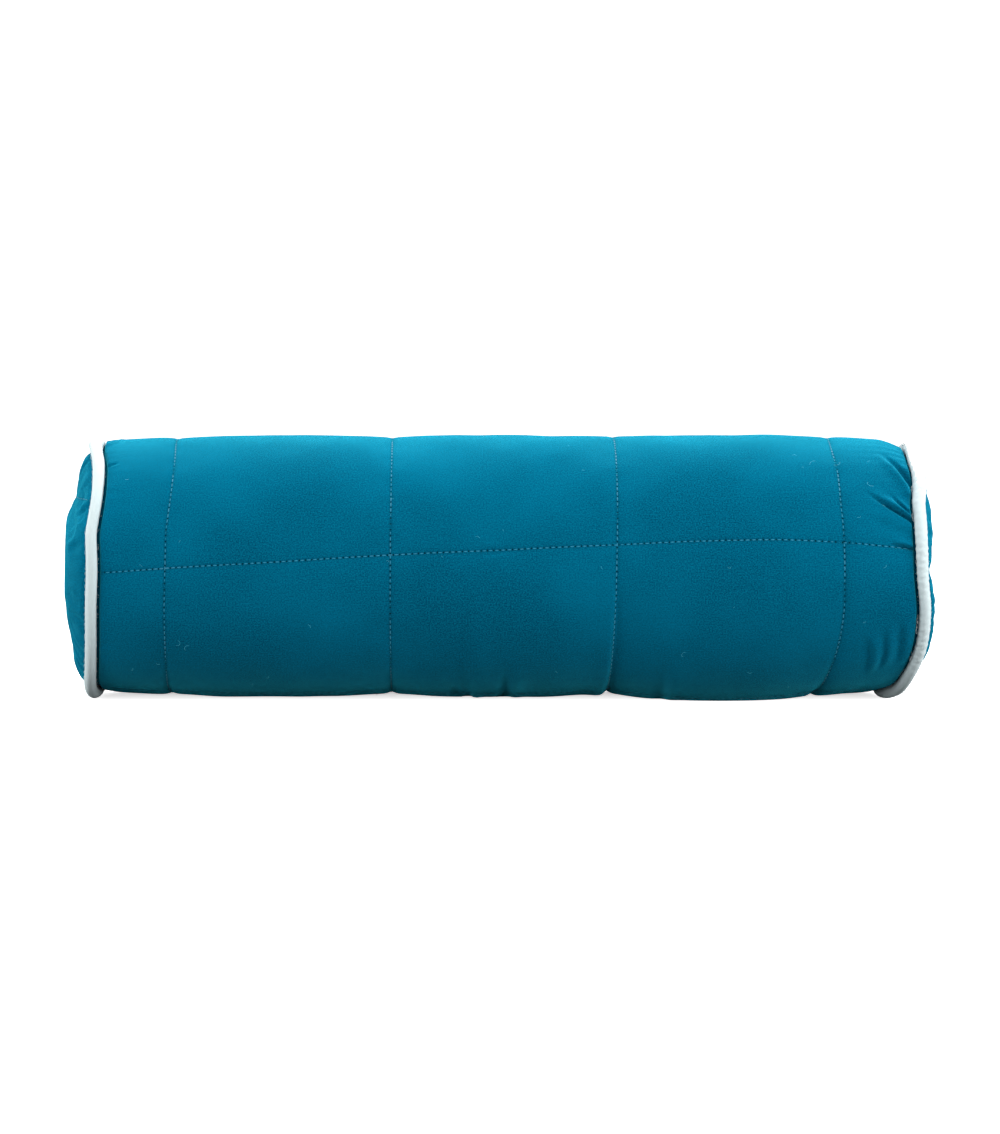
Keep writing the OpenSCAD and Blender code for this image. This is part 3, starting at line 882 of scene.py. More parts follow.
def bolster_shape() -> BolsterShape:
    """Set out the quilting and the folds of this bolster.

    Returns:
        The shape that all its soft pieces share.
    """
    shape = BolsterShape()
    reach = shape.seam_x - shape.end_cell
    third = reach / 3
    shape.hoops = (
        Hoop(-reach, -0.2, 1.4, -1.1, 0.3), Hoop(-third, 1.55, 0.35, -0.35, 0.5),
        Hoop(third, 2.4, 2.3, 0.1, 1.1), Hoop(reach, -1.1, 2.0, 3.4, 0.8),
    )
    shape.rows = (
        Row(-158.0, ((-230.0, 1.0), (0.0, -0.6), (230.0, 0.8))),
        Row(-72.0, ((-230.0, 0.0), (230.0, 1.0))),
        Row(14.0, (
            (-232.0, -12.4), (-187.0, -10.0), (-125.0, -7.4), (-62.0, -4.4), (0.0, -2.4),
            (65.0, 0.0), (130.0, 1.8), (160.0, 2.0), (190.0, 1.0), (232.0, -2.0),
        )),
        Row(100.0, ((-230.0, 1.2), (0.0, 0.0), (230.0, 1.6))),
    )
    end = shape.foot_x + 3.0
    shape.folds = (
        Fold(
            ((199.5, 40.0), (211.0, 33.4), (220.0, 28.8), (225.5, 26.2), (end, 23.0)),
            4.8, 1.15, 2.6, 2.6, 0.75,
        ),
        Fold(((213.5, 39.0), (220.0, 33.2), (225.0, 29.3), (end, 25.5)), 2.2, 0.9, 0.8, 1.6, 0.6),
        Fold(((end, 39.5), (227.0, 44.0), (219.5, 55.0), (211.0, 66.0)), 4.4, 2.0, 2.0, 1.6, 0.001, 0.7),
        Fold(((213.0, 14.3), (222.0, 13.4), (end, 12.0)), 3.6, 0.9, 1.5, 2.6, 0.5),
        Fold(((196.0, 28.0), (213.0, 22.5), (end, 17.5)), 0.5, 3.0, 0.4, 1.6, 0.6),
        Fold(((200.0, -24.0), (203.5, -36.0), (205.0, -50.0)), 0.9, 1.8, 0.9, 1.6, 0.35, 0.35),
        Fold(((217.0, -16.0), (219.0, -32.0), (220.0, -46.0)), 0.9, 2.4, 0.8, 1.5, 0.35, 0.35),
        Fold(((209.0, -20.0), (211.5, -36.0), (211.0, -48.0)), 0.7, 1.6, 0.5, 1.5, 0.35, 0.35),
        Fold(((-20.0, -4.0), (-21.0, -35.0), (-20.0, -66.0)), 0.8, 4.0, 0.5, 1.4, 0.4, 0.1),
        Fold(((-19.0, -58.0), (-18.5, -74.0), (-18.0, -92.0)), 1.6, 2.2, 0.6, 1.4, 0.4, 0.1),
        Fold(((4.0, -38.0), (3.0, -56.0), (2.5, -90.0)), 1.6, 3.0, 0.6, 1.4, 0.4, 0.1),
        Fold(((-34.0, -50.0), (-27.0, -60.0), (-22.0, -80.0)), 0.9, 3.0, 0.4, 1.4, 0.5, 0.2),
        Fold(((-18.0, -44.0), (0.0, -43.0)), 0.4, 1.2, 0.3, 1.5, 0.4, 0.4),
        Fold(((91.0, -28.0), (92.0, -50.0), (92.5, -88.0)), 0.9, 3.4, 0.5, 1.4, 0.5, 0.1),
        Fold(((-16.0, 8.6), (0.0, 10.0), (18.0, 11.2)), 0.5, 1.1, -0.4, 1.5, 0.4, 0.4),
        Fold(((-219.0, 57.5), (-224.0, 56.5), (-end, 55.0)), 1.4, 0.9, 0.5),
        Fold(((-217.0, 83.0), (-223.0, 80.0), (-end, 76.0)), 2.0, 1.0, 0.8),
        Fold(((-214.0, 96.0), (-end, 90.0)), 1.4, 1.4, 0.6),
        Fold(((-216.0, -30.0), (-end, -34.0)), 0.5, 1.4, 0.3),
        Fold(((-214.0, 120.0), (-end, 114.0)), 1.4, 1.8, 0.6),
        Fold(((210.0, 128.0), (end, 120.0)), 1.5, 2.0, 0.8),
        Fold(((206.0, -140.0), (end, -132.0)), 1.4, 2.2, 0.8),
        Fold(((-210.0, -128.0), (-end, -134.0)), 1.2, 2.0, 0.6),
    )
    return shape


def simulate_puff(
    name: str, points: np.ndarray, faces: np.ndarray, held: np.ndarray, pressure: float, slack: float
) -> np.ndarray:
    """Blow a coarse skin up with the cloth solver while its stitched points are held.

    Args:
        name: a name for the scratch object.
        points: the skin in metres.
        faces: its faces, facing outwards.
        held: for each point, how firmly it is held, from 0 to 1.
        pressure: the filling's push.
        slack: how much longer the cloth is than the skin, as a share.

    Returns:
        The settled points in metres.
    """
    scratch = make_mesh(name, points, faces)
    group = scratch.vertex_groups.new(name="held")
    for index in np.nonzero(held > 0.01)[0]:
        group.add([int(index)], float(held[index]), "REPLACE")
    cloth = scratch.modifiers.new("cloth", "CLOTH")
    settings = cloth.settings
    settings.quality = 5
    settings.mass = 0.25
    settings.tension_stiffness = 25.0
    settings.compression_stiffness = 12.0
    settings.shear_stiffness = 8.0
    settings.bending_stiffness = 0.4
    settings.air_damping = 4.0
    settings.vertex_group_mass = "held"
    settings.pin_stiffness = 1.0
    settings.shrink_min = -slack
    settings.use_pressure = True
    settings.uniform_pressure_force = pressure
    settings.effector_weights.gravity = 0.0
    cloth.collision_settings.use_collision = False
    cloth.point_cache.frame_start = 1
    cloth.point_cache.frame_end = 20
    for step in range(1, 21):
        bpy.context.scene.frame_set(step)
    apply_all(scratch)
    settled = np.zeros(len(scratch.data.vertices) * 3)
    scratch.data.vertices.foreach_get("co", settled)
    bpy.context.scene.frame_set(1)
    mesh = scratch.data
    bpy.data.objects.remove(scratch)
    bpy.data.meshes.remove(mesh)
    return settled.reshape(-1, 3)


# ---------------------------------------------------------------- barrel


@dataclass
class Barrel:
    """The barrel of the cover: its face cloth and wadding."""

    shape: BolsterShape
    opening_half: float = 178.0
    gap: float = 9.0
    tuck_h: float = 70.05
    puff_cap: float = 0.8
    shoulder_steps: int = 9

    def simulate(self) -> None:
        """Let the filling push the cloth out between its quilted lines."""
        s = self.shape
        stations = np.linspace(-s.foot_x + 2, s.foot_x - 2, 112)
        angles = np.arange(0.0, 360.0, 3.0) - 180.0
        x, a = np.meshgrid(stations, angles, indexing="ij")
        plain = s.skin(np.clip(x, -s.shoulder_x, s.shoulder_x), a, False)
        r = np.where(np.abs(x) > s.shoulder_x, s.shoulder_r, plain)
        points = np.stack([x, -r * np.cos(np.radians(a)), s.axis_z + r * np.sin(np.radians(a))], -1) * MM
        held = np.zeros_like(x)
        for hoop in s.hoops:
            held = np.maximum(held, np.abs(x - hoop.at(a)) < 2.3)
        for row in s.rows:
            held = np.maximum(held, np.abs(wrapped(a - row.at(x))) < 1.6)
        held = np.maximum(held, np.abs(x) > s.shoulder_x)
        held = np.maximum(held, 1.0 - s.off_zip(a))
        faces = grid_faces(len(stations), len(angles), True)[:, ::-1]
        before = points.reshape(-1, 3)
        after = simulate_puff("barrel_trial", before, faces, held.ravel(), 3.0, 0.02)
        out = np.stack([np.zeros_like(a), -np.cos(np.radians(a)), np.sin(np.radians(a))], -1).reshape(-1, 3)
        moved = ((after - before) * out).sum(-1).reshape(x.shape) / MM
        moved = moved - np.median(moved)
        log.info("barrel simulation moved the cloth %.2f to %.2f mm", moved.min(), moved.max())
        for _ in range(4):
            along = np.concatenate([moved[:1], moved, moved[-1:]])
            moved = (along[:-2] + 2 * moved + along[2:]) / 4
            moved = (np.roll(moved, 1, 1) + 2 * moved + np.roll(moved, -1, 1)) / 4
        s.puff = PuffField(stations, angles, np.clip(0.5 * moved, -self.puff_cap, self.puff_cap))

    def station_lines(self) -> np.ndarray:
        """Grid lines round the barrel, close together at the hoops and the folds."""
        s = self.shape

        def step(x: float) -> float:
            if min(abs(x - h.station) for h in s.hoops) < 7.0:
                return 0.72
            if x > 200:
                return 0.6
            return 0.85 if x < -214 else 2.2

        lines = walk(-s.shoulder_x, s.shoulder_x, step)
        for edge in (-self.opening_half - 0.8, self.opening_half + 0.8):
            lines[int(np.argmin([abs(v - edge) for v in lines]))] = edge
        return np.array(lines)

    def angle_lines(self) -> np.ndarray:
        """Grid lines along the barrel, close together at the rows and the folds."""
        s = self.shape
        rim = math.degrees(math.atan((self.gap / 2 + 0.8) / s.land_h))

        def step(a: float) -> float:
            w = float(wrapped(np.array(a)))
            if 1.0 < w < 45.0:
                return 0.5
            if 45.0 <= w < 86.0:
                return 0.9
            if min(abs(float(wrapped(np.array(w - r.angle)))) for r in s.rows) < 4.5:
                return 0.7
            if abs(float(wrapped(np.array(w - s.zip_angle)))) < 16:
                return 1.0
            return 1.45

        first = s.zip_angle + rim
        return np.array(walk(first, s.zip_angle + 360.0 - rim, step))

    def profile(self, stations: np.ndarray, angles: np.ndarray) -> tuple[np.ndarray, np.ndarray]:
        """Stations and radii of the face cloth's outside, from allowance to allowance.

        Args:
            stations: grid lines between the shoulders.
            angles: grid lines round the barrel.

        Returns:
            Two grids: stations and radii.
        """
        s = self.shape
        x, a = np.meshgrid(stations, angles, indexing="ij")
        r = s.skin(x, a)
        sides = []
        for side in (-1.0, 1.0):
            edge = r[0] if side < 0 else r[-1]
            t = np.radians(90.0 * np.arange(1, self.shoulder_steps + 1) / self.shoulder_steps)[:, None]
            sx = side * (s.shoulder_x + (s.foot_x - s.shoulder_x) * np.sin(t)) + 0 * edge
            flat = s.skin(np.clip(sx, -s.foot_x, s.foot_x), a[:1] + 0 * sx) - s.skin(
                side * s.shoulder_x + 0 * sx, a[:1] + 0 * sx
            )
            sr = s.seam_r + (edge - s.seam_r) * np.cos(t) + flat * np.cos(t)
            inner_x = side * np.array([s.seam_x - s.bias_t - 1.6, s.seam_x - s.bias_t])[:, None] + 0 * edge
            inner_r = np.array([s.seam_r, s.seam_r - 0.6])[:, None] + 0 * edge
            last_x = side * (s.seam_x - s.bias_t) + 0 * edge[None]
            last_r = s.seam_r - s.allowance + 0 * edge[None]
            rows_x = np.concatenate([sx, inner_x, last_x])
            rows_r = np.concatenate([sr, inner_r, last_r])
            sides.append((rows_x[::-1], rows_r[::-1]) if side < 0 else (rows_x, rows_r))
        x = np.concatenate([sides[0][0], x, sides[1][0]])
        r = np.concatenate([sides[0][1], r, sides[1][1]])
        return x, r

    def tuck_opening(self, obj: bpy.types.Object, ring: list[int]) -> None:
        """Fold the cloth's edges in at the zip's opening, down to the tapes.

        Args:
            obj: the face cloth's skin.
            ring: its points round the opening, in order.
        """
        s = self.shape
        turn = math.radians(90.0 - s.zip_angle)
        up = np.array([0.0, -math.sin(turn), math.cos(turn)])
        across = np.array([0.0, math.cos(turn), math.sin(turn)])
        axis = np.array([0.0, 0.0, s.axis_z])
        points = places_of(obj)
        rim = points[ring] - axis
        along, wide = rim[:, 0], rim @ across
        steps = ((0.55, 0.06), (0.25, 0.25), (0.0, 0.75), (0.0, s.land_h - self.tuck_h))
        rings, count = [np.array(ring)], len(points)
        new = []
        for grow, down in steps:
            px = np.clip(along, -self.opening_half - grow, self.opening_half + grow)
            py = np.clip(wide, -self.gap / 2 - grow, self.gap / 2 + grow)
            new.append(axis + np.outer(px, (1, 0, 0)) + np.outer(py, across) + (s.land_h - down) * up)
            rings.append(np.arange(count, count + len(ring)))
            count += len(ring)
        faces = [tuple(p.vertices) for p in obj.data.polygons]
        for low, high in zip(rings, rings[1:]):
            n = len(ring)
            faces += [(low[k], low[(k + 1) % n], high[(k + 1) % n], high[k]) for k in range(n)]
        mesh = obj.data
        mesh.clear_geometry()
        every = np.concatenate([points] + new) * MM
        mesh.from_pydata(every.tolist(), [], [tuple(map(int, f)) for f in faces])
        mesh.shade_smooth()

    def face_cloth(self) -> bpy.types.Object:
        """Build the face cloth with its quilting, folds, turned ends and zip opening.

        Returns:
            The finished piece.
        """
        s = self.shape
        stations, angles = self.station_lines(), self.angle_lines()
        x, r = self.profile(stations, angles)
        a = np.broadcast_to(angles, x.shape)
        rows, columns = x.shape
        points = s.seat(x, a, r).reshape(-1, 3)
        faces = grid_faces(rows, columns, True)
        low = int(np.argmin(np.abs(x[:, 0] + self.opening_half + 0.8)))
        high = int(np.argmin(np.abs(x[:, 0] - self.opening_half - 0.8)))
        last = columns - 1
        row, column = faces[:, 0] // columns, faces[:, 0] % columns
        faces = faces[~((column == last) & (row >= low) & (row < high))]
        obj = make_mesh("barrel_face_cloth_quilted", points, faces)
        ring = [i * columns for i in range(low, high + 1)]
        ring += [i * columns + last for i in range(high, low - 1, -1)]
        self.tuck_opening(obj, ring)
        co = places_of(obj)
        extra = len(co) - rows * columns
        px = np.concatenate([x.ravel(), co[rows * columns:, 0]])
        pa = np.concatenate([a.ravel(), np.full(extra, s.zip_angle)])
        add_uv(obj, "weave", np.stack([px, np.radians(pa) * s.barrel_r], -1))
        hoop = np.array([h.at(pa) for h in s.hoops])
        nearest = np.abs(px - hoop).argmin(0)
        gap = px - hoop[nearest, np.arange(len(px))]
        gap[rows * columns:] = 50.0
        add_uv(obj, "hoops", np.stack([np.radians(pa) * s.barrel_r, gap], -1))
        row_a = np.array([w.at(px) for w in s.rows])
        d = wrapped(pa - row_a) * math.radians(1.0) * s.barrel_r
        nearest = np.abs(d).argmin(0)
        gap = d[nearest, np.arange(len(px))]
        gap[rows * columns:] = 50.0
        add_uv(obj, "rows", np.stack([px, gap], -1))
        solidify(obj, s.face_t)
        return obj

    def wadding(self) -> bpy.types.Object:
        """Build the wadding as a closed pad between the face cloth and the lining.

        Returns:
            The finished piece.
        """
        s = self.shape
        stations = np.clip(self.station_lines()[::2], 8 - s.shoulder_x, s.shoulder_x - 8)
        stations = np.unique(stations)
        rim = math.degrees(math.atan((self.gap / 2 + 2.4) / s.land_h))
        angles = np.array(walk(s.zip_angle + rim, s.zip_angle + 360.0 - rim, lambda _: 2.4))
        x, a = np.meshgrid(stations, angles, indexing="ij")
        near = [s.skin(x + dx, a + da) for dx in (-1.5, 0.0, 1.5) for da in (-1.4, 0.0, 1.4)]
        outer = np.min(near, axis=0) - s.face_t - 0.7
        inner = np.minimum(np.full_like(outer, s.barrel_r - s.face_t - 5.0), outer - 0.8)
        rows, columns = x.shape
        points = np.concatenate([
            s.seat(x, a, outer, s.face_t + 0.3).reshape(-1, 3),
            s.seat(x, a, inner, s.face_t + 2.6).reshape(-1, 3),
        ])
        skin = grid_faces(rows, columns, False)
        count = rows * columns
        faces = [tuple(f) for f in skin] + [tuple(f[::-1] + count) for f in skin]
        edge = [i for i in range(columns)]
        edge += [i * columns + columns - 1 for i in range(1, rows)]
        edge += [(rows - 1) * columns + i for i in range(columns - 2, -1, -1)]
        edge += [i * columns for i in range(rows - 2, 0, -1)]
        n = len(edge)
        faces += [(edge[(k + 1) % n], edge[k], edge[k] + count, edge[(k + 1) % n] + count) for k in range(n)]
        obj = make_mesh("barrel_wadding_pad", points, faces)
        face_outwards(obj)
        return obj


# ---------------------------------------------------------------- end panels


@dataclass
class EndPanel:
    """A crowned round panel that closes one end of the cover."""

    shape: BolsterShape
    side: float
    line_up: float
    line_back: float
    gather: float
    flatten: float = 1.0
    line_dip: float = 2.9
    tilt: float = 0.0
    power: float = 2.5
    folds: tuple[tuple[float, float, float, float], ...] = ()
    puff: PuffField | None = None

    @property
    def name(self) -> str:
        """Which end this is."""
        return "right" if self.side > 0 else "left"

    def surface(self, t: np.ndarray, a: np.ndarray, fine: bool = True) -> tuple[np.ndarray, np.ndarray]:
        """Stations and radii of the panel's outside.

        Args:
            t: from 0 at the seam to 90 at the middle.
            a: angles round the panel.
            fine: whether its gathers and simulated puff are in it.

        Returns:
            Stations, before the end seam's lean, and radii.
        """
        s = self.shape
        base, tip = s.seam_x + s.bias_t, s.tip_x - self.flatten
        rt = np.radians(t)
        rise = np.sin(rt) ** (2 / self.power)
        radius = s.seam_r * np.cos(rt) ** (2 / self.power)
        x = base + (tip - base) * rise
        c, n = np.cos(np.radians(a)), np.sin(np.radians(a))
        across, up = -radius * c, radius * n
        inside = smooth_step(s.seam_r, s.seam_r - 12, radius)
        x = x - self.tilt * up / s.seam_r * inside
        for d in (up - self.line_up, across - self.line_back):
            x = x - self.line_dip * s.crease(d, 2.0, 9.0) * (0.35 + 0.65 * inside)
            if fine:
                x = x + 0.8 * s.puckers(across + up + 5 * self.line_up, d)
        if fine:
            r = np.radians(a)
            wander = np.sin(3 * r + self.side) + 0.8 * np.sin(8 * r + 2)
            ripple = np.sin(27 * r + 2.2 * wander) + 0.6 * np.sin(44 * r + 1.4 * wander)
            x = x + self.gather * ripple * np.exp(-(((s.seam_r - radius) / 15.0) ** 2)) * smooth_step(
                s.seam_r + 0.1, s.seam_r - 5, radius
            )
            x = x + 0.5 * np.sin(across / 17 + 1) * np.cos(up / 13 + self.side) * inside
            for angle, depth, width, length in self.folds:
                off = wrapped(a - angle) * math.radians(1.0) * radius
                near = smooth_step(s.seam_r - length, s.seam_r - 0.3 * length, radius)
                x = x - depth * near * np.exp(-((off / width) ** 2))
                x = x + 0.5 * depth * near * np.exp(-(((off - 1.7 * width) / width) ** 2))
            if self.puff is not None:
                x = x + self.puff.at(t, a)
        return np.maximum(x, base), radius

    def simulate(self) -> None:
        """Let the filling push the panel out between its seam and its quilted lines."""
        s = self.shape
        rings = np.concatenate([np.linspace(1.0, 60.0, 20), np.linspace(64.0, 88.0, 7)])
        angles = np.arange(0.0, 360.0, 4.0) - 180.0
        t, a = np.meshgrid(rings, angles, indexing="ij")
        x, radius = self.surface(t, a, False)
        across = -radius * np.cos(np.radians(a))
        up = radius * np.sin(np.radians(a))
        points = np.stack([self.side * x, across, s.axis_z + up], -1).reshape(-1, 3) * MM
        held = (t < 4).astype(float)
        held = np.maximum(held, np.abs(up - self.line_up) < 1.6)
        held = np.maximum(held, np.abs(across - self.line_back) < 1.6)
        faces = grid_faces(len(rings), len(angles), True)
        faces = faces[:, ::-1] if self.side > 0 else faces
        after = simulate_puff(f"{self.name}_end_trial", points, faces, held.ravel(), 3.0, 0.03)
        moved = (after - points)[:, 0].reshape(t.shape) * self.side / MM
        log.info("%s end simulation moved the cloth %.2f to %.2f mm", self.name, moved.min(), moved.max())
        self.puff = PuffField(rings, angles, np.clip(moved, -1.0, 1.6) * smooth_step(89.0, 84.0, t))

    def place(self, x: np.ndarray, a: np.ndarray, r: np.ndarray) -> np.ndarray:
        """Put the panel's own places in space, on its own side of the bolster."""
        points = self.shape.seat(self.side * x, a, r)
        return points

    def face_cloth(self) -> bpy.types.Object:
        """Build the panel's face cloth, with its allowance turned in behind the piping.

        Returns:
            The finished piece.
        """
        s = self.shape
        rings = np.concatenate(
            [np.linspace(0.0, 12.0, 13), np.linspace(13.5, 60.0, 30), np.linspace(62.0, 89.6, 22)]
        )
        angles = np.arange(0.0, 360.0, 1.0) - 180.0
        t, a = np.meshgrid(rings, angles, indexing="ij")
        x, r = self.surface(t, a)
        turn_x = np.full((2, len(angles)), s.seam_x + s.bias_t)
        turn_r = np.array([[s.seam_r - s.allowance], [s.seam_r - 0.5]]) + 0 * turn_x
        x, r = np.concatenate([turn_x, x]), np.concatenate([turn_r, r])
        a = np.broadcast_to(angles, x.shape)
        rows, columns = x.shape
        points = self.place(x, a, r).reshape(-1, 3)
        middle = points[-columns:].mean(0)
        points = np.concatenate([points, middle[None]])
        faces = [tuple(f) for f in grid_faces(rows, columns, True)]
        pole, start = len(points) - 1, (rows - 1) * columns
        faces += [(start + j, start + (j + 1) % columns, pole) for j in range(columns)]
        if self.side < 0:
            faces = [f[::-1] for f in faces]
        faces = [f[::-1] for f in faces]
        obj = make_mesh(f"{self.name}_end_face_cloth_quilted", points, faces)
        place = points / MM - np.array([0.0, 0.0, s.axis_z])
        add_uv(obj, "weave", place[:, 1:])
        add_uv(obj, "hoops", np.stack([place[:, 1], place[:, 2] - self.line_up], -1))
        add_uv(obj, "rows", np.stack([place[:, 2], place[:, 1] - self.line_back], -1))
        solidify(obj, s.face_t)
        return obj

    def layer(self, name: str, near: float, thick: float) -> bpy.types.Object:
        """Build a closed layer that lies under the face cloth and follows its shape.

        Args:
            name: the piece's name.
            near: how far its outside lies under the face cloth's outside.
            thick: its thickness.

        Returns:
            The finished piece.
        """
        s = self.shape
        rings = np.concatenate(
            [np.linspace(0.0, 12.0, 7), np.linspace(15.0, 60.0, 16), np.linspace(66.0, 89.0, 8)]
        )
        angles = np.arange(0.0, 360.0, 3.0) - 180.0
        t, a = np.meshgrid(rings, angles, indexing="ij")
        near_by = [self.surface(t, a + da)[0] for da in (-1.6, -0.8, 0.8, 1.6)]
        x, r = self.surface(t, a)
        x = np.min([x] + near_by, axis=0)
        base = s.seam_x + s.bias_t + 0.1
        points = []
        for depth in (near, near + thick):
            share = 1 - depth / s.seam_r
            inner = np.maximum(x - depth, base + 0.1 * (thick + near - depth))
            points.append(self.place(inner, a, r * share).reshape(-1, 3))
        rows, columns = x.shape
        count = rows * columns
        skin = grid_faces(rows, columns, True)
        faces = [tuple(f) for f in skin] + [tuple(f[::-1] + count) for f in skin]
        faces += [((j + 1) % columns, j, j + count, (j + 1) % columns + count) for j in range(columns)]
        top = (rows - 1) * columns
        faces += [(top + j, top + (j + 1) % columns, 2 * count) for j in range(columns)]
        faces += [(top + count + (j + 1) % columns, top + count + j, 2 * count + 1) for j in range(columns)]
        poles = [p[-columns:].mean(0)[None] for p in points]
        if self.side > 0:
            faces = [f[::-1] for f in faces]
        obj = make_mesh(name, np.concatenate(points + poles), faces)
        face_outwards(obj)
        return obj


# ---------------------------------------------------------------- piping


@dataclass
class Piping:
    """A cord wrapped in a strip of pale cloth, sewn into one end seam."""

    shape: BolsterShape
    side: float
    wide: tuple[tuple[float, float], ...]
    high: tuple[tuple[float, float], ...]
    joins: tuple[float, ...] = ()
    wrinkle: float = 0.06
    around: int = 26
    along: int = 720

    @property
    def name(self) -> str:
        """Which end this is."""
        return "right" if self.side > 0 else "left"

    def build(self) -> bpy.types.Object:
        """Sweep the wrapped cord with its flat flange round the seam.

        Returns:
            The finished piece.
        """
        s = self.shape
        tail = 4
        gap = 16.0
        psi = np.linspace(-180.0 + gap, 180.0 - gap, self.around)
        angles = np.arange(self.along) * 360.0 / self.along - 180.0
        p, a = np.meshgrid(psi, angles, indexing="xy")
        r = np.radians(a)
        wave = np.sin(95 * r + 3 * np.sin(4 * r) + np.radians(p) * 1.5)
        wave = wave + 0.8 * np.sin(151 * r - np.radians(p) * 2 + 2 * np.sin(7 * r))
        rough = 0.6 + 0.4 * np.sin(3 * r + self.side) * np.sin(5 * r + 1)
        tube = s.piping_r + self.wrinkle * wave * rough
        for join in self.joins:
            edge = wrapped(a - join) * math.radians(1.0) * s.piping_ring_r + p / 26.0
            tube = tube + 0.22 * smooth_step(-0.25, 0.25, edge) * np.exp(-np.clip(edge, 0, 99) / 5.0)
            tube = tube - 0.22 * np.exp(-((edge / 0.35) ** 2))
        wide, high = round_curve(self.wide, a), round_curve(self.high, a)
        cx = tube * np.sin(np.radians(p)) * wide
        cr = s.piping_ring_r + tube * np.cos(np.radians(p)) * high
        cr = np.where(p * 0 + np.cos(np.radians(p)) < 0, s.piping_ring_r + tube * np.cos(np.radians(p)), cr)
        half = s.bias_t * 0.9
        reach = np.linspace(s.seam_r - 0.3, s.seam_r - s.allowance, tail)
        ones = np.ones((self.along, 1))
        x = np.concatenate([-half * np.ones(tail) * ones, cx, half * np.ones(tail) * ones], axis=1)
        rad = np.concatenate([reach[::-1] * ones, cr, reach * ones], axis=1)
        ring_a = angles[:, None] + 0 * x
        points = s.seat(self.side * (s.seam_x + 0 * x) + x, ring_a, rad).reshape(-1, 3)
        rows, columns = x.shape
        faces = grid_faces(rows + 1, columns, True) % (rows * columns)
        obj = make_mesh(f"{self.name}_piping_bias_strip_wrapped", points, faces[:, ::-1])
        length = np.radians(ring_a) * s.piping_ring_r
        step_x = np.diff(x, axis=1, prepend=x[:, :1])
        step_r = np.diff(rad, axis=1, prepend=rad[:, :1])
        around = np.cumsum(np.hypot(step_x, step_r), axis=1)
        turned = np.stack([length + around, around - length], -1).reshape(-1, 2) * 0.7071
        add_uv(obj, "weave", turned)
        face_outwards(obj)
        return obj


# ---------------------------------------------------------------- stitches


